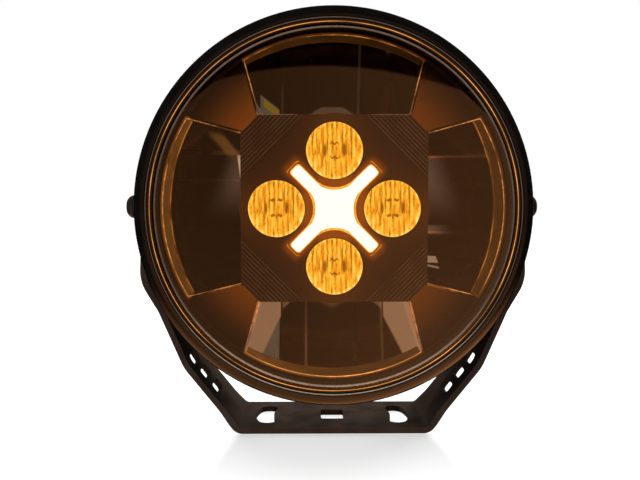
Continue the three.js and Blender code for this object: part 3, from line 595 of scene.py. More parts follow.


# Painted reflections: glowing shapes on the reflectors, each given as the edges it lies within, and
# its colour. The edges are (a, b, c, softness), and the inside is where a*x + b*z > c, in
# millimetres.
PALE, DIM, GOLD = (0.33, 0.20, 0.12), (0.10, 0.088, 0.07), (0.21, 0.145, 0.014)
PAINTED_REFLECTIONS = [
    # Top: a painted grey wedge of reflection by the panel's corner, a painted gold streak in it, and
    # a dim painted sill.
    (((-1, 0, 32.3, 0.5), (1, 0, -44, 0.6), (-0.72, -1, -36.8, 0.8)), DIM),
    (((-1, 0, 32.3, 0.5), (1, 0, -42, 0.5), (-0.72, -1, -36, 0.6), (0.72, 1, 30.5, 0.8)), GOLD),
    (((0.6, -1, -66, 1), (-0.6, -1, -66, 1), (0, -1, -62, 1), (0, 1, 51, 1)), (0.085, 0.06, 0.042)),
    # Bottom: a painted pale wedge of reflection on each side, a small one nearer the middle, and a
    # dim painted sill.
    *on_both_sides(
        ((1, 0, 31.6, 0.6), (0.89, 0.46, -3.7, 1.5), (-1, -0.29, -29, 2), (0, -1, 51, 1)), PALE),
    *on_both_sides(((-1, 0, -31.0, 0.4), (0.62, 0.78, -31, 0.8), (0, -1, 51, 0.6)),
                   (0.16, 0.085, 0.045)),
    (((-0.5, 1, -66, 4), (0.5, 1, -66, 4), (0, -1, 51, 1)), (0.085, 0.042, 0.017)),
    # Left: a painted bright strip of reflection along the panel, a painted soft sheen beside it, and
    # a painted brown streak.
    (((-1, 0, 51, 1), (1, -0.4, -80, 16), (0, 1, -12, 34), (0, -1, -31, 0.6)), (0.10, 0.065, 0.05)),
    (((-1, 0, 51, 0.3), (1, 0.11, -55.4, 0.5), (0, 1, 13, 7), (0, -1, -32, 0.5)),
     (0.68, 0.46, 0.36)),
    (((0.785, 0.62, -33, 4), (-0.785, -0.62, 23.5, 3), (0, 1, 28, 6), (0, -1, -47, 6)),
     (0.13, 0.06, 0.015)),
    # Right: two small painted pale reflections and a painted soft sheen.
    (((1, 0, 51, 1), (-1, -0.4, -84, 18), (0, 1, -12, 30), (0, -1, -31, 0.6)),
     (0.10, 0.072, 0.058)),
    (((1, 0, 51, 0.4), (-1, 0, -76, 18), (0, 1, -19, 4), (0, -1, 11, 2)), (0.13, 0.09, 0.065)),
    (((1, 0, 51, 0.4), (-1, -0.35, -53.8, 0.5), (0, 1, -35.1, 0.4), (0, -1, 30.6, 0.4)),
     (0.36, 0.26, 0.20)),
    (((1, 0, 51, 0.4), (-1, 0, -66.5, 1), (0.19, 1, -26.1, 0.4), (-0.19, -1, 24.5, 0.4)),
     (0.30, 0.21, 0.16)),
]


def mirror_material():
    """Vacuum-metallised plastic with painted reflections; the satin outer wall has painted amber
    light.
    """
    material, tree = new_material("metallised_mirror")
    x, _, z = millimetres(tree)
    reach = distance(x, z)
    wall = ramp(reach, WINDOW_RADIUS - 0.5, WINDOW_RADIUS - 0.2)
    base = blend(noise(tree, 9, 3), (0.50, 0.47, 0.44), (0.62, 0.59, 0.55))
    base = blend(wall, base, (0.22, 0.13, 0.07))
    # Painted amber light on the outer wall, in patches, stronger low and on the left.
    lit = wall * ramp(z, 40, 80, 1, 0.5) * ramp(x, -60, 60, 1.4, 0.6)
    lit = lit * ramp(noise(tree, 14, 2), 0.3, 0.7, 0.7, 1.2)
    # The painted reflections, laid one over another.
    glow = (0, 0, 0)
    for edges, colour in PAINTED_REFLECTIONS:
        glow = blend(inside(x, z, edges), glow, colour)
    # A painted copper line of light marks where the side reflectors' walls begin.
    painted_edge_line = ramp(reach, WINDOW_RADIUS - 1.3, WINDOW_RADIUS - 1) - wall
    painted_edge_line = painted_edge_line * ramp(abs(x), 60, 80) * ramp(noise(tree, 20, 2), 0.4, 0.6, 0.2, 1)
    glow = blend(wall, blend(painted_edge_line, glow, (0.50, 0.20, 0.04)), (0.100, 0.042, 0.008))
    lit = maths("MAXIMUM", lit, 1 - wall)
    return ended(material, {
        "Base Color": base, "Metallic": 1.0, "Roughness": ramp(wall, 0, 1, 0.07, 0.4),
        "Normal": relief(noise(tree, 11, 1), 0.08, 0.0006),
        "Emission Color": glow, "Emission Strength": lit * camera_share(tree, 0.3),
    })


def rim_frame_material():
    """The reflectors' thin front edges, with painted copper light, uneven and brighter at the bottom.
    """
    material, tree = new_material("lit_reflector_edge")
    patches = ramp(noise(tree, 22, 2), 0.38, 0.62, 0.15, 1.3)
    painted_glints = ramp(noise(tree, 2.5, 2), 0.35, 0.7, 0.6, 1.5)
    strength = patches * painted_glints + ramp(millimetres(tree)[2], -70, -95, 0, 1.0)
    return ended(material, {
        "Base Color": (0.35, 0.20, 0.10), "Metallic": 1.0, "Roughness": 0.3,
        "Emission Color": (0.70, 0.30, 0.085),
        "Emission Strength": strength * camera_share(tree, 0.2),
    })


def trim(material, glow, colour=AMBER, groove_shade=None):
    """Ends a material as satin brown-black trim with a painted glow, and painted shade in any
    grooves.
    """
    tree = material.node_tree
    patches = noise(tree, 18, 3)
    base = blend(patches, (0.006, 0.0045, 0.0035), (0.010, 0.007, 0.0055))
    if groove_shade:
        base = blend(groove_shade, base, (0.001, 0.001, 0.001))
    return ended(material, {
        "Base Color": base, "Roughness": ramp(patches, 0.3, 0.7, 0.34, 0.42),
        "Normal": relief(noise(tree, 0.5, 2), 0.015, GRAIN_DEPTH),
        "Emission Color": colour, "Emission Strength": glow * camera_share(tree, 0.3),
    })


def surround_material():
    """Trim with painted amber light next to the panel's cut corners, stronger at the upper left."""
    material, tree = new_material("surround_trim")
    x, _, z = millimetres(tree)
    near = ramp(distance(x, z), 62, 100, 1, 0) ** 1.2
    return trim(material, near * ramp(x - z, -100, 100, 0.22, 0.12))


def panel_material():
    """Trim with painted shade in its corner grooves and painted amber light round the guide and
    optics.
    """
    material, tree = new_material("panel_trim")
    x, _, z = millimetres(tree)
    wide, tall, reach = abs(x), abs(z), distance(x, z)
    # Painted amber light: a faint spill near the middle lines, and more along the cross's arms and
    # round the optics.
    spill = ramp(wide * tall, 150, 1200, 0.05, 0.002)
    # The distance from the nearer arm of the cross.
    aside = abs(wide - tall) / math.sqrt(2)
    along = ramp(aside, CROSS_HALF_WIDTH, CROSS_HALF_WIDTH + 6, 1, 0) ** 2
    along = along * ramp(reach, CROSS_REACH, CROSS_REACH + 7, 0.30, 0)
    middle = ramp(reach, OPTIC_OFFSET - OPTIC_RADIUS, 25, 0.30, 0)
    glow = spill + maths("MAXIMUM", along, middle)
    # The diagonal, in ridges counted from the cut corner, tells grooves from ridges.
    count = (RIDGE_START - (wide + tall) / math.sqrt(2)) / RIDGE_PITCH
    wave = abs(maths("FRACT", count) - 0.5)
    ridged = maths("LESS_THAN", count, RIDGE_COUNT)
    # groove is painted shade: it blackens the grooves and dims the painted light in them.
    groove = ramp(wave, 0.30, 0.40) * ridged
    crest = ramp(wave, 0.14, 0.04) * ridged
    # Painted pale highlights lie along the ridges and along the top of the panel, off its middle.
    top_edge_highlight = ramp(z, PANEL_HALF - 0.5, PANEL_HALF - 0.2) * ramp(wide - 20, 0, 2.5)
    fade = ramp(noise(tree, 12, 2), 0.35, 0.65, 0.4, 1.2)
    painted_highlights = crest * (fade * 0.09) + top_edge_highlight * 0.22
    glow = glow * ramp(groove, 0, 1, 1, 0.1) + painted_highlights
    share = painted_highlights / (glow + 0.0001)
    return trim(material, glow, blend(share, AMBER, (1.0, 0.60, 0.36)), groove)


def optic_material(name, marks):
    """Clear amber, lit from behind: bright upright streaks with dark marks over the emitter."""
    material, tree = new_material(name)
    x, _, z = millimetres(tree)
    streaks = noise(tree, 1.4, 3, 0.6, stretch=(1, 1, 0.13))
    ticks = noise(tree, 1.0, 2, 0.6, stretch=(1, 1, 0.30))
    sparkle = noise(tree, 1.3, 3, 0.6)
    ribs = maths("COSINE", x * (2 * math.pi / FLUTE_PITCH))
    level = ramp(streaks, 0.34, 0.66, 0.22, 0.72) + ribs * 0.12 - ramp(ticks, 0.58, 0.68, 0, 0.3)
    for cx, cz, wide, tall, waviness in marks:
        wave = maths("COSINE", x * 2.4) * waviness
        away = distance((x - cx) / wide, (z + wave - cz) / tall) + sparkle * 0.8
        level = level * ramp(away, 1.0, 1.9, 0.08, 1)
    edge = ramp(distance(x, z) / OPTIC_RADIUS, 0.86, 0.99, 0, 0.30) * ramp(sparkle, 0.3, 0.6)
    level = level + edge + ramp(z, -OPTIC_RADIUS, 0, 0.12, 0)
    colour = colour_ramp(level, (
        (0.0, (0.13, 0.040, 0.001)), (1.0, (1.0, 0.92, 0.36)),
        (0.40, (0.72, 0.315, 0.009)), (0.75, (0.98, 0.62, 0.06))))
    # Only the front is lit. The tapering back stays dark, where the reflectors could show it.
    front = ramp(normal_depth(tree), -0.3, -0.1, 1.5, 0)
    return ended(material, {
        "Base Color": (0.3, 0.12, 0.01), "Roughness": 0.12, "Emission Color": colour,
        "Emission Strength": front * camera_share(tree, 0.25),
    })


def guide_material():
    """The lit light guide: white on its face and amber on its sides."""
    material, tree = new_material("lit_light_guide")
    facing = ramp(abs(normal_depth(tree)), 0.55, 0.97)
    mottle = ramp(noise(tree, 3, 2), 0.3, 0.7, 0.95, 1.0)
    strength = ramp(facing, 0, 1, 1.0, 1.95) * mottle
    return ended(material, {
        "Base Color": (0.9, 0.85, 0.75), "Roughness": 0.3,
        "Emission Color": blend(facing, (1.0, 0.30, 0.03), (1.0, 0.97, 0.85)),
        "Emission Strength": strength * camera_share(tree, 0.15),
    })


def line_material(name, colour, size, low, high, sides=1.0, bottom=1.0):
    """A thin lit line in patches size millimetres long, its strength set at sides and bottom."""
    material, tree = new_material(name)
    z = millimetres(tree)[2]
    patches = ramp(noise(tree, size, 2), 0.35, 0.65, low, high)
    strength = patches * ramp(noise(tree, 2.0, 2), 0.3, 0.7, 0.8, 1.15)
    strength = strength * ramp(abs(z), 30, 90, sides, 1) * ramp(z, -95, -50, bottom, 1)
    return ended(material, {
        "Base Color": tuple(c * 0.3 for c in colour), "Roughness": 0.3,
        "Emission Color": colour, "Emission Strength": strength * camera_share(tree, 0.3),
    })


# The dark marks over each optic's emitter, as (x, z, half width, half height, waviness) in
# millimetres from the optic's middle.
UPRIGHT_MARKS = [(x, 0, 1.0, 3.4, 0) for x in (-5.4, 5.4)]
UPRIGHT_MARKS += [(0, -3.9, 2.6, 0.6, -0.5), (0, 3.9, 2.6, 0.6, 0.5)]
LEVEL_MARKS = [(x, z, 1.4, 0.8, 0.2) for x in (-2, 2) for z in (-3.7, 4.9)]
LEVEL_MARKS += [(x, 0.5, 0.8, 3.0, 0) for x in (-5.8, 5.8)]

POWDER = surface("powder_coat", (0.025, 0.0175, 0.013), 0.5, grain=0.45, bump=0.25, specular=0.18,
                 wear=(0.07, 0.06, 0.05))
CAST = surface("cast_housing", (0.040, 0.038, 0.036), 0.55, grain=0.6, bump=0.5, variation=0.08,
               wear=(0.12, 0.12, 0.12))
GLOSS = glossier_below(surface("gloss_bezel", (0.0035, 0.003, 0.0027), 0.16, grain=2.5, bump=0.02))
LENS = lens_material()
MIRROR = mirror_material()
SURROUND = surround_material()
PANEL = panel_material()
UPRIGHT_OPTIC = optic_material("upright_optic", UPRIGHT_MARKS)
LEVEL_OPTIC = optic_material("level_optic", LEVEL_MARKS)
GUIDE = guide_material()
# Glowing lines. The guide's edge is the guide's own light; the others are painted light.
GUIDE_EDGE = line_material("guide_edge", (1.25, 0.56, 0.08), 8, 0.9, 1.3)
# Painted amber light from the guide on the edge of the panel's recess.
PAINTED_RECESS_LIGHT = line_material("painted_recess_light", (0.9, 0.34, 0.03), 6, 0.5, 1.0)
RIM_FRAME = rim_frame_material()
# Painted amber light along the lens's edge.
EDGE_GLOW = line_material("lens_edge_glow", (0.85, 0.33, 0.07), 45, 0.2, 1.3)
# A painted highlight on the lens's ridge, weaker at the sides and much stronger at the bottom.
RIDGE_HIGHLIGHT = line_material("lens_ridge", (0.12, 0.080, 0.056), 60, 0.8, 1.1, 0.5, 2.2)
# A painted highlight on the bezel's lip bead, a little weaker at the sides and much stronger at the
# bottom.
LIP_HIGHLIGHT = line_material("bezel_lip", (0.07, 0.053, 0.042), 60, 0.8, 1.2, 0.8, 4.0)
RUBBER = surface("black_rubber", (0.016, 0.016, 0.016), 0.75, grain=0.5, bump=0.4)
SILICONE = surface("grey_silicone", (0.22, 0.22, 0.21), 0.6, grain=0.8, bump=0.2)
JACKET = surface("cable_jacket", (0.014, 0.014, 0.014), 0.5, grain=0.5, bump=0.3, stretch=(1, 1, 1))
NYLON = surface("black_nylon", (0.017, 0.017, 0.018), 0.5, grain=0.35, bump=0.35)
ORANGE = surface("orange_nylon", (0.62, 0.16, 0.02), 0.45, grain=0.4, bump=0.2)
ZINC = surface("zinc_steel", (0.52, 0.51, 0.49), 0.32, metallic=1.0, grain=0.5, bump=0.15)
BLACK_STEEL = surface("black_zinc", (0.030, 0.029, 0.028), 0.34, metallic=0.6, grain=0.5, bump=0.15,
                      wear=(0.2, 0.2, 0.2))
ALUMINIUM = surface("machined_aluminium", (0.30, 0.30, 0.31), 0.35, metallic=1.0, grain=0.3,
                    bump=0.2, stretch=(0.2, 1, 1))
BLACK_BOARD = surface("black_board", (0.006, 0.006, 0.006), 0.5, grain=0.5, bump=0.1)
WHITE_BOARD = surface("white_board", (0.70, 0.70, 0.66), 0.45, grain=0.5, bump=0.1)
GREEN_BOARD = surface("green_board", (0.03, 0.16, 0.07), 0.4, grain=0.5, bump=0.1)


# ---- Bracket -----------------------------------------------------------------------------------


def strap_outline():
    """The right half of the strap in XZ: its outer face, then its inner face, with round bends."""
    outside = STRAP_HIGH.x
    corners = [(*FOOT_CORNER, 8), (*ARM_CORNER, 26), (outside - 11.4, 72, 14), (outside, 89.5, 24)]
    path = [Vector((0, 0)), *(Vector(c[:2]) for c in corners), Vector((outside, STRAP_HIGH.z))]
    outer, inner = [(0, 0)], [(0, STRAP)]

    def both(point, direction):
        normal = Vector((-direction.y, direction.x))
        outer.append(tuple(point))
        inner.append(tuple(point + normal * STRAP))

    for i, (_, _, radius) in enumerate(corners):
        before = (path[i + 1] - path[i]).normalized()
        after = (path[i + 2] - path[i + 1]).normalized()
        bend = math.atan2(before.x * after.y - before.y * after.x, before.dot(after))
        begin = path[i + 1] - before * radius * math.tan(abs(bend) / 2)
        side = math.copysign(1, bend)
        centre = begin + Vector((-before.y, before.x)) * radius * side
        steps = max(4, round(abs(bend) / 0.07))
        for k in range(steps + 1):
            turn = Matrix.Rotation(bend * k / steps, 2)
            both(centre + turn @ (begin - centre), turn @ before)
    both(path[-1], Vector((0, 1)))
    return outer + inner[::-1]


def strap_side():
    """The strap seen from the side: a wide foot, narrower arms and round tips."""
    foot, arm, tip = STRAP_HIGH.y, 26.5, 15
    taper = 72
    rise = AXIS - taper
    tangent = math.degrees(math.atan2(rise, arm) - math.acos(tip / math.hypot(arm, rise)))
    top = arc((0, AXIS), tip, -tangent, 180 + tangent, 32)
    right = [(foot, -5), (foot, 5, 3), (arm, 12, 8), (arm, taper, 20)]
    left = [(-arm, taper, 20), (-arm, 12, 8), (-foot, 5, 3), (-foot, -5)]
    return rounded(right + top + left, 6)


def arc_slot():
    """A foot slot bent round the bracket's middle."""
    middle, half, spread = 41.8, 5.6, 18.7
    end = [middle * math.cos(math.radians(spread)), middle * math.sin(math.radians(spread))]
    points = arc((0, 0), middle + half, -spread, spread, 16)
    points += arc(end, half, spread, spread + 180, 14)[1:]
    points += arc((0, 0), middle - half, spread, -spread, 16)[1:]
    points += arc((end[0], -end[1]), half, 180 - spread, 360 - spread, 14)[1:-1]
    return points


def build_bracket():
    half = plate(strap_outline(), STRAP_LOW.y - 5, STRAP_HIGH.y + 5, bevel=0)
    strap = join_solids(half, mirrored(half))
    # An outline drawn in XZ becomes a YZ outline when it is spun about z.
    side = spun(plate(strap_side(), -140, 140, bevel=0), 90, "Z")
    strap = combine(strap, [side], "INTERSECT")

    lying = with_mirror_image(plate(arc_slot(), -6, 6, bevel=0))
    lying.insert(1, plate(box_outline(14, 20, 1.5), -6, 6, bevel=0))
    cutters = [spun(flat, 90, "X") for flat in lying]
    lower_arm = (Vector(ARM_CORNER) - Vector(FOOT_CORNER)).normalized()
    lean = math.degrees(math.atan2(lower_arm.y, lower_arm.x))
    for i in range(3):
        slot = plate(box_outline(6.8, 21, 2.8), -8, 8, bevel=0)
        x, z = Vector(FOOT_CORNER) + lower_arm * (26.2 + 11.4 * i)
        cutters += with_mirror_image(moved(spun(spun(slot, 90, "X"), -lean), x, -3.5, z))
    cutters += with_mirror_image(moved(sideways(pin(8.3, 100, 130)), z=AXIS))
    cut(strap, *cutters)
    return bevelled(strap, 0.45, 2, 40)


piece(build_bracket(), "bracket_strap", "powder_coated_steel", POWDER, ["mounting_bracket"],
      GROUND, body="bracket")


# ---- Bezel and lens ----------------------------------------------------------------------------

DOME_RISE, DOME_STEPS = 10, 24
LENS_EDGE = -44.3
RIDGE_TEETH, TOOTH_DEPTH = 220, 0.22


def build_bezel():
    wide, lip = RIM, 107.4
    shoulder = BEZEL_BACK - 1.8
    profile = [(wide - 0.5, BEZEL_BACK), (wide, BEZEL_BACK - 0.5)]
    for i in range(25):
        angle = i / 24 * math.pi / 2
        depth = shoulder + (LIP_FRONT - shoulder) * math.sin(angle) ** 0.9
        profile.append((lip + (wide - lip) * math.cos(angle), depth))
    profile += [(lip - 0.7, LIP_FRONT + 0.15), (lip - 1.1, LIP_FRONT + 0.7)]
    profile += [(105.7, LIP_FRONT + 1.2), (105.6, LENS_EDGE - 0.1), (105.9, LENS_EDGE)]
    profile += [(107.7, LENS_EDGE), (107.7, BEZEL_BACK)]
    bezel = lathe(profile)
    notch = block((5, 9), (LIP_FRONT + 2.6, LIP_FRONT + 3.6), (-RIM - 2, -RIM + 3), 0.2)
    return cut(bezel, notch)


def bowed(radius, depth, rise):
    """The profile of a dome: points from its middle to its edge."""
    shares = [i / DOME_STEPS for i in range(DOME_STEPS + 1)]
    return [(radius * share, depth + rise * share**2) for share in shares]


def build_lens():
    edge = LENS_FRONT + DOME_RISE
    profile = bowed(99.6, LENS_FRONT, DOME_RISE - 0.3)
    profile += rounded([(99.6, edge - 0.3), (101.6, edge + 0.4, 1.2), (102.6, -44.2, 0.5)], 6)[1:-1]
    profile += [(102.6, LENS_EDGE), (103.0, -44.1), (107.3, -44.1), (107.3, -41.5), (100.2, -41.5)]
    profile += bowed(98, LENS_FRONT + 3, DOME_RISE)[::-1]
    return lathe(profile)


def build_lip_bead():
    """A fine bead round the inner edge of the bezel, which carries a painted highlight."""
    return lathe(box_outline(0.55, 0.7, 0.25, 106.0, LIP_FRONT + 0.75, 3))


def build_edge_glow():
    """The thin line of painted light between the bezel's lip and the lens."""
    return lathe(box_outline(0.34, 0.6, 0.15, 104.0, -44.35, 3))


def build_lens_ridge():
    """The serrated step round the edge of the lens's dome, which carries a painted highlight."""
    ridge = lathe(box_outline(0.9, 1.6, 0.35, 100.0, LENS_FRONT + DOME_RISE, 3), RIDGE_TEETH * 4)
    for vertex in ridge.data.vertices:
        turn = math.atan2(vertex.co.x, vertex.co.z) / (2 * math.pi) * RIDGE_TEETH
        vertex.co.y += TOOTH_DEPTH * math.cos(2 * math.pi * turn)
    return ridge


piece(build_bezel(), "bezel_ring", "gloss_black_bezel", GLOSS, ["front_bezel"])
piece(build_lip_bead(), "bezel_lip_bead", "gloss_black_bezel", LIP_HIGHLIGHT)
piece(build_lens(), "lens_cover", "smoked_amber_lens", LENS, ["front_lens"])
piece(build_lens_ridge(), "lens_ridge", "smoked_amber_lens", RIDGE_HIGHLIGHT)
piece(build_edge_glow(), "lens_edge_glow", "smoked_amber_lens", EDGE_GLOW)


# ---- Inner face --------------------------------------------------------------------------------

IN_FRONT, BEHIND = -70, 10  # Depths that lie clear of the surround on either side.
BOWL_FOOT, BOWL_CURVE, STRIP_CROWN = 34, 177.6, 0.55


def cone_depth(radius):
    """The surround's front surface falls back from the panel to the reflectors' outer edge."""
    top, outer = 67, WINDOW_RADIUS
    return CONE_FRONT + 0.03 + (radius - top) / (outer - top) * 15


def through(outline, holes=()):
    """An outline extruded right through the surround."""
    return plate(outline, IN_FRONT, BEHIND, holes, 0)


def build_surround():
    inner, thick = 58, 2.2
    corners = [(inner, cone_depth(inner)), (WINDOW_RADIUS, cone_depth(WINDOW_RADIUS), 1.5)]
    corners += [(101.2, -31.0, 0.5), (101.2, CONE_BACK, 0.4), (98.9, CONE_BACK, 0.4)]
    corners.append((WINDOW_RADIUS - 0.5, cone_depth(WINDOW_RADIUS) + thick))
    corners.append((inner, cone_depth(inner) + thick))
    cone = lathe(rounded(corners, 4))
    windows = around_axis(lambda: through(window_outline(1.9)), QUARTERS)
    return cut(cone, through(octagon(0.3)), *windows)


def build_panel():
    """The octagonal face with ridged corners, round holes and a recess for the light guide."""
    optics = [turned_about([(0, OPTIC_OFFSET)], angle)[0] for angle in QUARTERS]
    holes = [circle(x, z, OPTIC_RADIUS + 0.3, MEDIUM) for x, z in optics]
    face = plate(octagon(), PANEL_FRONT + 1.2, PANEL_FRONT + 2.6, [cross(0.3), *holes], 0)
    front = plate(octagon(), PANEL_FRONT, PANEL_FRONT + 1.25, [cross(1.9), *holes], 0.25)
    skirt = plate(octagon(), PANEL_FRONT + 2.5, PANEL_BACK, [octagon(-2)], 0)
    diagonal = PANEL_HALF * math.sqrt(2)
    extras = [front, skirt]
    for angle in DIAGONALS:
        for i in range(RIDGE_COUNT):
            far = RIDGE_START - RIDGE_PITCH * i
            near = far - RIDGE_WIDTH
            ridge = [(near, near - diagonal + 0.4), (far, far - diagonal + 0.4),
                     (far, diagonal - far - 0.4), (near, diagonal - near - 0.4)]
            ridge = turned_about(ridge, angle)
            extras.append(plate(ridge, RIDGE_FRONT, PANEL_FRONT + 0.4, (), 0.2))
    inner, outer = OPTIC_RADIUS + 0.5, OPTIC_RADIUS + 4.9
    for x, z in optics:
        collar = ring(inner, outer, PANEL_FRONT - 0.25, PANEL_FRONT + 0.3, 0.2)
        extras.append(moved(collar, x, 0, z))
    return join_solids(face, *extras)


def floor_depth(x, z):
    """The dished floor of the top reflector: five crowned strips under one curved bowl."""
    strip = next(i for i in range(5) if x <= FACET_EDGES[i + 1] or i == 4)
    low, high = FACET_EDGES[strip : strip + 2]
    crest, half = (low + high) / 2, (high - low) / 2
    share = (x - crest) / half
    bowl = ((z - BOWL_FOOT) ** 2 + crest**2) / BOWL_CURVE
    tilt = half * crest / BOWL_CURVE * 2 * share
    crown = STRIP_CROWN * (share**2 - 1)
    return REFLECTOR_BACK - 0.1 - bowl - tilt - crown


def ahead_of_floor(back):
    """Everything in front of the reflector's floor, as one closed grid solid."""
    bm = bmesh.new()
    columns = []
    for low, high in zip(FACET_EDGES, FACET_EDGES[1:]):
        columns += [low + (high - low) * i / 10 for i in range(10)]
    columns.append(FACET_EDGES[-1])
    rows = [30 + 72 * i / 40 for i in range(41)]
    front = [[bm.verts.new((x, IN_FRONT, z)) for z in rows] for x in columns]
    floor = [[bm.verts.new((x, floor_depth(x, z) + back, z)) for z in rows] for x in columns]
    for grid in (front, floor):
        for i in range(len(columns) - 1):
            for j in range(len(rows) - 1):
                bm.faces.new((grid[i][j], grid[i + 1][j], grid[i + 1][j + 1], grid[i][j + 1]))
    border = [(i, 0) for i in range(len(columns))]
    border += [(len(columns) - 1, j) for j in range(1, len(rows))]
    border += [(i, len(rows) - 1) for i in range(len(columns) - 2, -1, -1)]
    border += [(0, j) for j in range(len(rows) - 2, 0, -1)]
    for (i, j), (k, m) in zip(border, border[1:] + border[:1]):
        bm.faces.new((front[i][j], front[k][m], floor[k][m], floor[i][j]))
    return working_object(bm)


def build_reflector():
    """The top reflector: a tub with slanted sides, open to the front and to its emitters."""
    wall = 1.6
    outer = plate(window_outline(wall), IN_FRONT, 30, bevel=0)
    outer = combine(outer, [ahead_of_floor(wall)], "INTERSECT")
    inner = plate(window_outline(0), IN_FRONT - 5, 30, bevel=0)
    inner = combine(inner, [ahead_of_floor(0)], "INTERSECT")
    keep = lathe([(0, -45.2), (68.7, -45.2), (WINDOW_RADIUS, -31), (110, -31), (110, 40), (0, 40)])
    under_panel = block((-70, 70), (-80, PANEL_BACK + 0.4), (0, PANEL_HALF + 0.3), 0)
    under_board = block((-70, 70), (-80, -32.6), (0, 46.8), 0)
    light_door = block((-20, 20), (-80, -7), (0, WINDOW_INNER + 1), 0)
    tub = cut(outer, inner)
    tub = combine(tub, [keep], "INTERSECT")
    return cut(tub, under_panel, under_board, light_door)


def build_rim_frame():
    """The thin frame round the top reflector's mouth, lying on the surround's cone, with painted
    light.
    """
    inner, outer, proud = 60, 101, 0.35
    rim = through(window_outline(0.65), [window_outline(0.1)])
    shell = lathe([(inner, cone_depth(inner) - proud), (outer, cone_depth(outer) - proud),
                   (outer, cone_depth(outer) + 0.5), (inner, cone_depth(inner) + 0.5)])
    return cut(combine(rim, [shell], "INTERSECT"), through(octagon(0.3)))


piece(build_surround(), "surround", "dark_inner_trim", SURROUND, ["inner_surround"])
piece(build_panel(), "centre_face", "dark_inner_trim", PANEL, ["centre_panel"])
first_reflector, first_frame = build_reflector(), build_rim_frame()
for index, side in enumerate(SIDES):
    reflector, rim = (spun(copied(first), 90 * index) for first in (first_reflector, first_frame))
    piece(reflector, f"reflector_{side}", "metallised_reflector", MIRROR,
          [f"main_reflector_{side}"], smooth=3)
    piece(rim, f"reflector_rim_{side}", "metallised_reflector", RIM_FRAME)
bpy.data.objects.remove(first_reflector)
bpy.data.objects.remove(first_frame)


# ---- Optics and light guide --------------------------------------------------------------------


def build_optic():
    """A round optic, fluted in front, tapering to its emitter at the back."""
    front, edge, radius = OPTIC_LOW.y + 0.95, OPTIC_LOW.y + 3.95, OPTIC_RADIUS
    steps = 40
    profile = [(0, front)] + [(radius * i / steps, front) for i in range(1, steps)]
    profile += [(radius - 0.3, front + 0.1), (radius, front + 0.5), (radius, edge)]
    profile += [(radius - 1.3, edge), (radius - 4, edge + 2.2), (7, OPTIC_HIGH.y)]
    profile += [(4.2, OPTIC_HIGH.y), (4.2, -42), (0, -43)]
    optic = lathe(profile, 120)
    for vertex in optic.data.vertices:
        x, y, z = vertex.co
        if y < front + 0.05:
            fade = min(1.0, max(0.0, (radius - 0.8 - math.hypot(x, z)) / 1.2))
            vertex.co.y -= 0.85 * abs(math.cos(math.pi * x / FLUTE_PITCH)) * fade
    return optic


for side in SIDES:
    finish = UPRIGHT_OPTIC if side in ("top", "bottom") else LEVEL_OPTIC
    piece(build_optic(), f"optic_{side}", "amber_optic", finish, [f"fog_optic_{side}"],
          middle(f"fog_optic_{side}"), smooth=60)

cross_guide = plate(cross(0, 0.8), GUIDE_LOW.y, GUIDE_HIGH.y, (), 0.6, 4)
piece(cross_guide, "cross_guide", "diffusing_light_guide", GUIDE, ["position_light_guide"])

# A lower amber edge fills the notches, and a fine rib round the panel's recess glows with painted
# light from the guide.
guide_edge = plate(cross(0.55), GUIDE_LOW.y + 1, PANEL_FRONT + 1.25, [cross(0.03, 0.8)], 0)
painted_recess_light = plate(cross(1.85), PANEL_FRONT - 0.1, PANEL_FRONT + 1.25, [cross(1.45)], 0)
piece(guide_edge, "guide_edge", "diffusing_light_guide", GUIDE_EDGE)
piece(painted_recess_light, "painted_recess_light", "diffusing_light_guide", PAINTED_RECESS_LIGHT)


# ---- Rear housing ------------------------------------------------------------------------------

FLANGE_FRONT = -34
HOUSING_BACK = 24
FIN_BACK = 40
CLEAR_BACK = 60  # Behind everything on the head.
BOSS_FACE = 107.4
FIN_ROWS = [14 * (i + 0.5) for i in range(-6, 6)]
GLAND_DEPTH = 32


def in_head(node):
    """Where a CAD node's middle is, in the head's x and z."""
    centre = middle(node)
    return centre.x, centre.z - AXIS


CLIP_X, CLIP_Z = in_head("clip_screw")
VENT_PLACE = in_head("breather_vent")
COVER_SCREWS = [in_head(f"cover_screw_{i}") for i in range(1, 5)]
BEZEL_SCREWS = [in_head(f"bezel_screw_{i}") for i in range(1, 7)]


def fin(x):
    """One cooling fin: a thin plate whose outline follows the housing's round back."""
    reach = math.sqrt(max(96.5**2 - x**2, 1))
    inner = math.sqrt(max(86**2 - x**2, 1))
    corners = [(-reach, 8, 1), (-reach + 4, 33, 6), (-inner, FIN_BACK, 7)]
    corners += [(inner, FIN_BACK, 7), (reach - 4, 33, 6), (reach, 8, 1)]
    corners += [(reach - 8, 8), (inner - 8, 22), (8 - inner, 22), (8 - reach, 8)]
    outline = [(z, y) for z, y in rounded(corners, 4)]
    blade = plate(outline, -1.3, 1.3, (), 0.5, 1)
    # The outline's x is the fin's z and its z is the fin's y.
    blade.data.transform(Matrix(((0, 1, 0, 0), (0, 0, 1, 0), (1, 0, 0, 0), (0, 0, 0, 1))))
    return moved(blade, x)


def hanging(solid):
    """A part made along y, hung downwards below the driver chamber."""
    return moved(spun(solid, -90, "X"), y=GLAND_DEPTH)


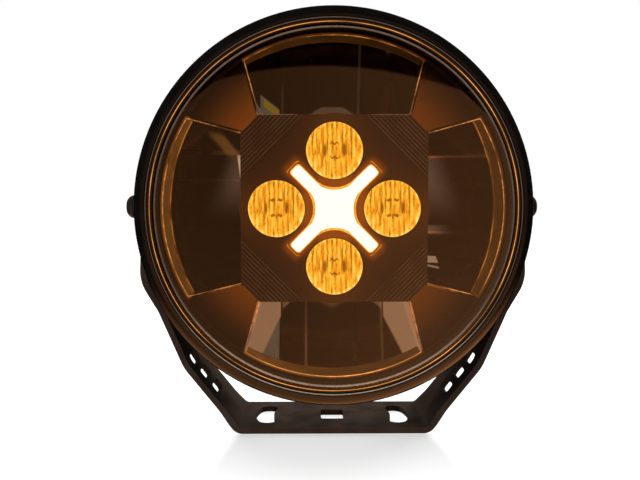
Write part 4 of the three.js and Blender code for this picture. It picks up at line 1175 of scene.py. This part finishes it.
def build_housing():
    rim, wall, flange_back = 113.6, 107.3, FLANGE_FRONT + 5
    corners = [(0, HOUSING_BACK), (86, HOUSING_BACK, 10), (98.5, 10, 12), (104, -8, 20)]
    corners += [(106, flange_back, 1.2), (rim, flange_back, 1.0), (rim, FLANGE_FRONT, 0.5)]
    corners += [(wall, FLANGE_FRONT), (wall, -38.5), (101.6, -38.5), (101.6, -26.7), (101.2, -8, 8)]
    corners += [(95.5, 9, 8), (84, 20, 6), (0, 20)]
    bowl = lathe(rounded(corners, 4), 112)
    chamber = ring(0, COVER_HIGH.x + 0.2, HOUSING_BACK - 2, FIN_BACK, 0.5, MEDIUM)
    bosses = []
    for radius, reach in ((13.5, BOSS_FACE), (16.5, BOSS_FACE - 3)):
        boss = cut(sideways(ring(0, radius, 90, reach, 0.8)), pin(101, -30, 30, segments=MEDIUM))
        bosses += with_mirror_image(boss)
    bosses.append(moved(ring(0, 4.5, HOUSING_BACK - 3, 43, 0.5, SMALL), CLIP_X, 0, CLIP_Z))
    body = join_solids(bowl, *(fin(x) for x in FIN_ROWS), chamber, *bosses)

    tapped = sideways(pin(4.2, 101.2, 130))
    chamber_room = pin(34, HOUSING_BACK + 0.1, CLEAR_BACK, segments=MEDIUM)
    notch = block((-12, 12), (HOUSING_BACK + 0.05, CLEAR_BACK), (-110, 2.2 - COVER_HIGH.x), 0)
    gland = hanging(pin(6.3, 20, CLEAR_BACK))
    wire = pin(4, 0, CLEAR_BACK)
    clip_hole = pin(1.7, 30, CLEAR_BACK, CLIP_X, CLIP_Z, TINY)
    cutters = [*with_mirror_image(tapped), chamber_room, notch, gland, wire, clip_hole]
    cutters += [pin(1.6, 32, CLEAR_BACK, x, z, TINY) for x, z in COVER_SCREWS]
    for x, z in BEZEL_SCREWS:
        cutters.append(pin(1.9, -50, 0, x, z, TINY))
        cutters.append(pin(4, flange_back, 0, x, z, 24))
    return cut(body, *cutters)


piece(build_housing(), "housing", "cast_aluminium_black", CAST, ["rear_housing"], smooth=35)


# ---- Driver cover, vent and screws -------------------------------------------------------------


def build_cover():
    radius = COVER_HIGH.x
    corners = [(0, COVER_LOW.y), (radius, COVER_LOW.y, 0.3), (radius, COVER_HIGH.y, 1.0)]
    corners += [(radius - 7.5, COVER_HIGH.y, 0.3), (radius - 8.3, COVER_HIGH.y - 0.8, 0.3)]
    corners += [(radius - 9.6, COVER_HIGH.y - 0.8, 0.3), (radius - 10.4, COVER_HIGH.y, 0.3)]
    corners += [(0, COVER_HIGH.y)]
    cover = lathe(rounded(corners, 3))
    holes = [pin(1.7, 30, CLEAR_BACK, x, z, 20) for x, z in COVER_SCREWS]
    return cut(cover, pin(3.8, 30, CLEAR_BACK, *VENT_PLACE, 24), *holes)


def build_vent():
    """A push-in breather: a domed cap with slots round its edge."""
    back = extent("breather_vent")[1].y
    corners = [(0, 40.5), (3.4, 40.5, 0.3), (3.4, 44.1), (7, 44.1, 0.3), (7, 46, 0.8)]
    corners += [(5.6, back, 1.2), (0, back)]
    cap = lathe(rounded(corners, 4), MEDIUM)
    slots = around_axis(lambda: block((-0.6, 0.6), (44.6, 45.9), (5.6, 9), 0), range(0, 360, 45))
    return cut(cap, *slots)


def pan_screw(shank, tip, seat, head_radius, head_height):
    """A pan-head screw with a ridged shank and a cross recess."""
    profile = [(0, tip), (shank * 0.7, tip)]
    turns = max(3, int((seat - tip) / 0.8))
    for i in range(turns):
        depth = tip + (seat - tip - 0.6) * (i + 0.5) / turns
        profile += [(shank * 0.8, depth - 0.2), (shank, depth)]
    profile += [(shank * 0.8, seat - 0.3), (shank, seat)]
    top = seat + head_height
    profile += rounded([(head_radius, seat, 0.2), (head_radius, top, head_height * 0.8), (0, top)], 6)
    screw = lathe(profile, SMALL)
    arm, floor = head_radius * 0.55, seat + head_height * 0.4
    tall = block((-0.45, 0.45), (floor, seat + 9), (-arm, arm), 0)
    wide = block((-arm, arm), (floor, seat + 9), (-0.45, 0.45), 0)
    return cut(screw, tall, wide)


def place_screws(prefix, places, first, slot, material):
    for i, (x, z) in enumerate(places):
        screw = spun(copied(first), 37 * i)
        piece(screw, f"{prefix}_{i + 1}_fine", slot, material, [f"{prefix}_{i + 1}"],
              Vector((x, 0, z + AXIS)))
    bpy.data.objects.remove(first)


piece(build_cover(), "cover_plate", "cast_aluminium_black", CAST, ["driver_cover"])
piece(build_vent(), "vent_cap", "black_nylon", NYLON, ["breather_vent"],
      middle("breather_vent"))
place_screws("cover_screw", COVER_SCREWS, pan_screw(1.4, 33, 44.1, 3, 2.2),
             "zinc_plated_steel", ZINC)
place_screws("bezel_screw", BEZEL_SCREWS, pan_screw(1.5, -40.2, -28.9, 3.1, 2.3),
             "black_coated_steel", BLACK_STEEL)
piece(pan_screw(1.5, 34, 45.3, 3, 2.2), "clip_screw_fine", "zinc_plated_steel", ZINC,
      ["clip_screw"], middle("clip_screw"))


# ---- Cable, gland and plug ---------------------------------------------------------------------

PATH_STEPS, ROD_SIDES = 10, 24


def build_gland():
    body = ring(0, 6, 35, 45, 0.3, SMALL)
    nut = plate(circle(0, 0, 8.4, 6), 43, 47.5, (), 0.4)
    return hanging(cut(join_solids(body, nut), pin(CABLE_RADIUS + 0.3, 20, 80)))


def build_gland_nut():
    corners = [(3.5, 47.8), (7.3, 47.8, 0.4), (7.3, 54, 0.8), (6.3, 57.5, 1.0), (5, 58.5, 0.6)]
    corners.append((3.5, 58.5))
    cap = lathe(rounded(corners, 4), MEDIUM)
    groove = (-0.5, 0.5), (48.8, 53.6), (6.8, 9)
    return hanging(cut(cap, *around_axis(lambda: block(*groove, 0.1), range(0, 360, 30))))


def cable_points():
    """Stops along the cable, from the gland round to the plug."""
    plug = (PLUG_LOW + PLUG_HIGH) / 2
    bottom = PLUG_LOW.z - AXIS
    return [(0, GLAND_DEPTH, -36), (0, GLAND_DEPTH, -50), (0, GLAND_DEPTH + 0.5, -62), (3, 37, -73),
            (13, 45, -81), (28, 49, -82), (45, 50, -72), (57, 50.5, -55), (61.5, 51.5, -36),
            (plug.x, plug.y - 0.2, bottom + 2)]


def between(a, b, start, end, t):
    """The point at t on the line that is at a at start and at b at end."""
    return a * (end - t) / (end - start) + b * (t - start) / (end - start)


def smooth_path(stops):
    """Catmull-Rom points through the stops, on the same curve as the CAD cable."""
    stops = [Vector(stop) for stop in stops]
    ends = [stops[0] * 2 - stops[1], *stops, stops[-1] * 2 - stops[-2]]
    path = []
    for a, b, c, d in zip(ends, ends[1:], ends[2:], ends[3:]):
        knots = [0.0]
        for first, second in ((a, b), (b, c), (c, d)):
            knots.append(knots[-1] + (second - first).length ** 0.5)
        t0, t1, t2, t3 = knots
        for i in range(PATH_STEPS):
            t = t1 + (t2 - t1) * i / PATH_STEPS
            bc = between(b, c, t1, t2, t)
            abc = between(between(a, b, t0, t1, t), bc, t0, t2, t)
            bcd = between(bc, between(c, d, t2, t3, t), t1, t3, t)
            path.append(between(abc, bcd, t1, t2, t))
    path.append(stops[-1])
    return path


def rod(path, radius):
    """A round rod along a path."""
    bm = bmesh.new()
    side = Vector((1, 0, 0))
    rings = []
    for i, point in enumerate(path):
        along = (path[min(i + 1, len(path) - 1)] - path[max(i - 1, 0)]).normalized()
        side = (side - along * side.dot(along)).normalized()
        up = along.cross(side)
        angles = [2 * math.pi * k / ROD_SIDES for k in range(ROD_SIDES)]
        offsets = [(side * math.cos(angle) + up * math.sin(angle)) * radius for angle in angles]
        rings.append([bm.verts.new(point + offset) for offset in offsets])
    for first, second in zip(rings, rings[1:]):
        for k in range(ROD_SIDES):
            j = (k + 1) % ROD_SIDES
            bm.faces.new((first[k], first[j], second[j], second[k]))
    bm.faces.new(rings[0])
    bm.faces.new(rings[-1])
    return working_object(bm)


def build_clip(path):
    """A saddle over the cable with a tab that a screw holds."""
    centre = Vector(cable_points()[8])
    at = min(range(len(path)), key=lambda i: (path[i] - centre).length)
    along = (path[at + 1] - path[at - 1]).normalized()
    across = Vector((0, 1, 0)).cross(along).normalized()
    away = along.cross(across)
    bore, skin, width = CABLE_RADIUS + 0.5, 1.7, 8
    tab = 43.2 - centre.y
    reach = CLIP_X - centre.x + 5.5
    corners = [(-bore - skin, -3.4, 0.4)]
    corners += arc((0, 0), bore + skin, 180, 0, 20)
    corners += [(bore + skin, tab + skin, 1.0), (reach, tab + skin, 0.5), (reach, tab, 0.5)]
    corners += [(bore, tab, 0.5), *arc((0, 0), bore, 0, 180, 20), (-bore, -3.4, 0.4)]
    strip = plate(rounded(corners, 4), -width / 2, width / 2, (), 0.35)
    basis = Matrix((across, along, away)).transposed().to_4x4()
    strip.data.transform(Matrix.Translation(centre) @ basis)
    return cut(strip, pin(1.9, 30, CLEAR_BACK, CLIP_X, CLIP_Z, 20))


def build_plug():
    """A sealed two-way plug: ribbed grips and an open socket."""
    low, high = PLUG_LOW - HEAD, PLUG_HIGH - HEAD
    centre = (low + high) / 2
    outline = box_outline(high.x - low.x, high.y - low.y - 0.4, 2.5, centre.x, 0, 6)
    shell = moved(spun(plate(outline, low.z, high.z, (), 0.6, 3), 90, "X"), y=centre.y)

    def room(wide, deep, bottom, top):
        x, y = (centre.x - wide, centre.x + wide), (centre.y - deep, centre.y + deep)
        return block(x, y, (bottom, top), 0)

    socket = room(7.5, 5.2, high.z - 12, high.z + 20)
    entry = room(7, 5, low.z - 20, low.z + 8)
    grips = []
    for step in range(4):
        z = low.z + 13 + 2.6 * step
        for x in ((low.x - 2, low.x + 0.7), (high.x - 0.7, high.x + 2)):
            grips.append(block(x, (centre.y - 9, centre.y + 9), (z, z + 1.2), 0))
    return cut(shell, socket, entry, *grips)


cable_path = smooth_path(cable_points())
piece(build_gland(), "gland_body", "black_nylon", NYLON, ["cable_gland"])
piece(build_gland_nut(), "gland_cap", "black_nylon", NYLON, ["gland_nut"])
piece(rod(cable_path, CABLE_RADIUS), "cable", "cable_jacket", JACKET, ["supply_cable"])
piece(build_clip(cable_path), "clip", "black_nylon", NYLON, ["cable_clip"])
piece(build_plug(), "plug_shell", "black_nylon", NYLON, ["plug_body"])


# ---- Side bolts, washers and grommets ----------------------------------------------------------

ARM_OUTSIDE = STRAP_HIGH.x
WASHER_SEAT = ARM_OUTSIDE + 3.3


def build_grommet():
    bore, neck, flange, gap = 6.1, 8.05, 13, 0.2
    near, far = BOSS_FACE + gap, ARM_OUTSIDE + 3.0
    inside_arm, outside_arm = ARM_OUTSIDE - STRAP - gap, ARM_OUTSIDE + gap
    corners = [(bore, near, 0.4), (flange, near, 1.0), (flange, inside_arm, 0.6), (neck, inside_arm)]
    corners += [(neck, outside_arm), (flange, outside_arm, 0.6), (flange, far, 1.0), (bore, far, 0.4)]
    return lathe(rounded(corners, 4), MEDIUM)


def build_spring_washer():
    washer = ring(4.4, 7.2, WASHER_SEAT + 1.75, WASHER_SEAT + 3.55, 0.25)
    split = spun(block((0, 20), (WASHER_SEAT - 5, WASHER_SEAT + 9), (-0.6, 0.6), 0), 20)
    return cut(washer, split)


def build_bolt():
    """A button-head bolt with a hexagon socket and a ridged thread."""
    tip, seat, high, radius = 101.6, WASHER_SEAT + 3.7, 4.4, 7
    profile = [(0, tip), (3.2, tip)]
    for i in range(4):
        profile += [(3.3, tip + 0.5 + 1.25 * i), (4.0, tip + 1.1 + 1.25 * i)]
    profile += [(3.95, tip + 6.2), (3.95, seat), (radius - 0.3, seat), (radius, seat + 0.3)]
    for i in range(11):
        angle = 0.95 * i / 10
        rise = (high - 0.4) * math.sin(angle) / math.sin(0.95)
        profile.append((radius * math.cos(angle), seat + 0.4 + rise))
    profile.append((0, seat + high))
    bolt = lathe(profile, MEDIUM)
    socket = plate(circle(0, 0, 2.9, 6), seat + 1.9, seat + 9, (), 0)
    chamfer = lathe([(0, seat + high - 0.9), (2.4, seat + high - 0.9), (4.0, seat + high + 0.7),
                     (0, seat + high + 0.7)], 48)
    return cut(bolt, socket, chamfer)


for side, turn in (("right", -90), ("left", 90)):
    steel = ("black_coated_steel", BLACK_STEEL)
    flat_washer = ring(4.3, 12, WASHER_SEAT, WASHER_SEAT + 1.6, 0.3)
    piece(spun(build_grommet(), turn, "Z"), f"grommet_{side}", "black_rubber", RUBBER,
          [f"arm_grommet_{side}"], body="bracket")
    piece(spun(flat_washer, turn, "Z"), f"washer_{side}", *steel, [f"flat_washer_{side}"])
    piece(spun(build_spring_washer(), turn, "Z"), f"split_washer_{side}", *steel,
          [f"spring_washer_{side}"])
    piece(spun(build_bolt(), turn, "Z"), f"bolt_{side}", *steel, [f"pivot_bolt_{side}"],
          body=f"{side}_bolt")


# ---- CAD nodes that stay -----------------------------------------------------------------------

KEPT = {
    "lens_seal": SILICONE,
    "cover_gasket": RUBBER,
    "position_led_board": WHITE_BOARD,
    "fog_led_board": WHITE_BOARD,
    "driver_board": GREEN_BOARD,
    "led_tower": ALUMINIUM,
    "plug_wedge_lock": ORANGE,
    "plug_rear_seal": SILICONE,
    "pivot_sleeve_left": ZINC,
    "pivot_sleeve_right": ZINC,
    **dict.fromkeys([f"main_led_board_{side}" for side in SIDES], BLACK_BOARD),
}
for node, finish in KEPT.items():
    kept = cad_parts[node]
    kept.data.materials.clear()
    kept.data.materials.append(finish)


# ---- Floor, light and camera -------------------------------------------------------------------

CAMERA_PLACE, CAMERA_LENS = (-13.6, -510.4, 145.9), 46.57
CAMERA_DIP, CAMERA_TURN = 3.725, -0.683  # In degrees, below the level and from straight ahead.


def build_floor():
    """A plain white floor that mirrors the lamp faintly close to its foot, with painted shade there.
    """
    material, tree = new_material("pale_floor")
    x, y, _ = millimetres(tree)
    # The mirror image fans out and fades in front of the foot. Where it misses the lamp it mirrors
    # the dark studio, which paints shade on the floor.
    ahead = y * -1
    share = ramp(abs(x) - ahead * 0.14, 48, 58, 1, 0) * ramp(ahead, 28, 31)
    share = share * ramp(ahead, 5, 175, 0.36, 0.0)
    matt = Value(add(tree, "BsdfDiffuse", {"Color": (0.2, 0.2, 0.2)}))
    strength = camera_share(tree, 0) * 0.82
    bright = Value(add(tree, "Emission", {"Color": WHITE, "Strength": strength}))
    lit = Value(add(tree, "AddShader", {0: matt, 1: bright}))
    shine = Value(add(tree, "BsdfGlossy", {"Color": WHITE, "Roughness": 0.03}))
    ended(material, {0: share, 1: lit, 2: shine}, "MixShader")
    bm = bmesh.new()
    bmesh.ops.create_grid(bm, x_segments=1, y_segments=1, size=6)
    floor = working_object(bm, "floor")
    floor.location.z = -0.0003
    floor.visible_glossy = False
    floor.data.materials.append(material)


def build_world():
    """White to the camera. Reflections see a dark studio with a warm glow low by the camera."""
    world = bpy.data.worlds.new("studio")
    bpy.context.scene.world = world
    world.use_nodes = True
    tree = world.node_tree
    tree.nodes.clear()
    away = scaled(Value(add(tree, "NewGeometry"), "Incoming"), -1.0)
    height = apart(away)[2]
    in_camera = Value(add(tree, "VectorTransform", {0: away}, vector_type="VECTOR",
                          convert_from="WORLD", convert_to="CAMERA"))
    side, _, forward = apart(in_camera)
    # The glow lies beside the camera and on the table, and ends above in an arch.
    glow = maths("MAXIMUM", ramp(forward, -0.78, -0.62, 1, 0), ramp(height, -0.75, -0.30, 1, 0))
    glow = glow * ramp(height + side * side * 0.46, 0.424, 0.436, 1, 0)
    glow = glow * ramp(side, -0.36, 0.36, 0.7, 1.2) * ramp(height, -0.6, 0.2, 1.3, 0.85)
    backdrop = blend(glow * 0.6, (0.006, 0.005, 0.004), (1.48, 0.60, 0.215))
    rays = add(tree, "LightPath")
    backdrop = blend(Value(rays, "Is Diffuse Ray"), backdrop, (1.05, 1.05, 1.05))
    backdrop = blend(Value(rays, "Is Camera Ray"), backdrop, WHITE)
    shader = Value(add(tree, "Background", {"Color": backdrop, "Strength": 1.0}))
    add(tree, "OutputWorld", {0: shader})


def build_light(name, location, size, power):
    """A soft square light aimed at the lamp, which mirrors don't show."""
    data = bpy.data.lights.new(name, "AREA")
    data.energy = power
    data.size = size
    light = bpy.data.objects.new(name, data)
    bpy.context.scene.collection.objects.link(light)
    light.location = Vector(location)
    aim = HEAD * MM - light.location
    light.rotation_euler = aim.to_track_quat("-Z", "Y").to_euler()
    light.visible_camera = False
    light.visible_glossy = False


def build_camera():
    data = bpy.data.cameras.new("camera")
    data.sensor_width = 36
    data.lens = CAMERA_LENS
    data.clip_start = 0.01
    camera = bpy.data.objects.new("camera", data)
    bpy.context.scene.collection.objects.link(camera)
    camera.location = Vector(CAMERA_PLACE) * MM
    camera.rotation_euler = (math.radians(90 - CAMERA_DIP), 0, math.radians(CAMERA_TURN))
    bpy.context.scene.camera = camera


build_floor()
build_world()
build_light("front_fill", (-0.7, -1.2, 1.1), 0.9, 14)
build_light("rear_left", (-0.9, 0.9, 0.9), 0.7, 38)
build_light("rear_right", (1.0, 0.8, 0.7), 0.7, 44)
build_camera()
bpy.context.scene.view_settings.view_transform = "Standard"
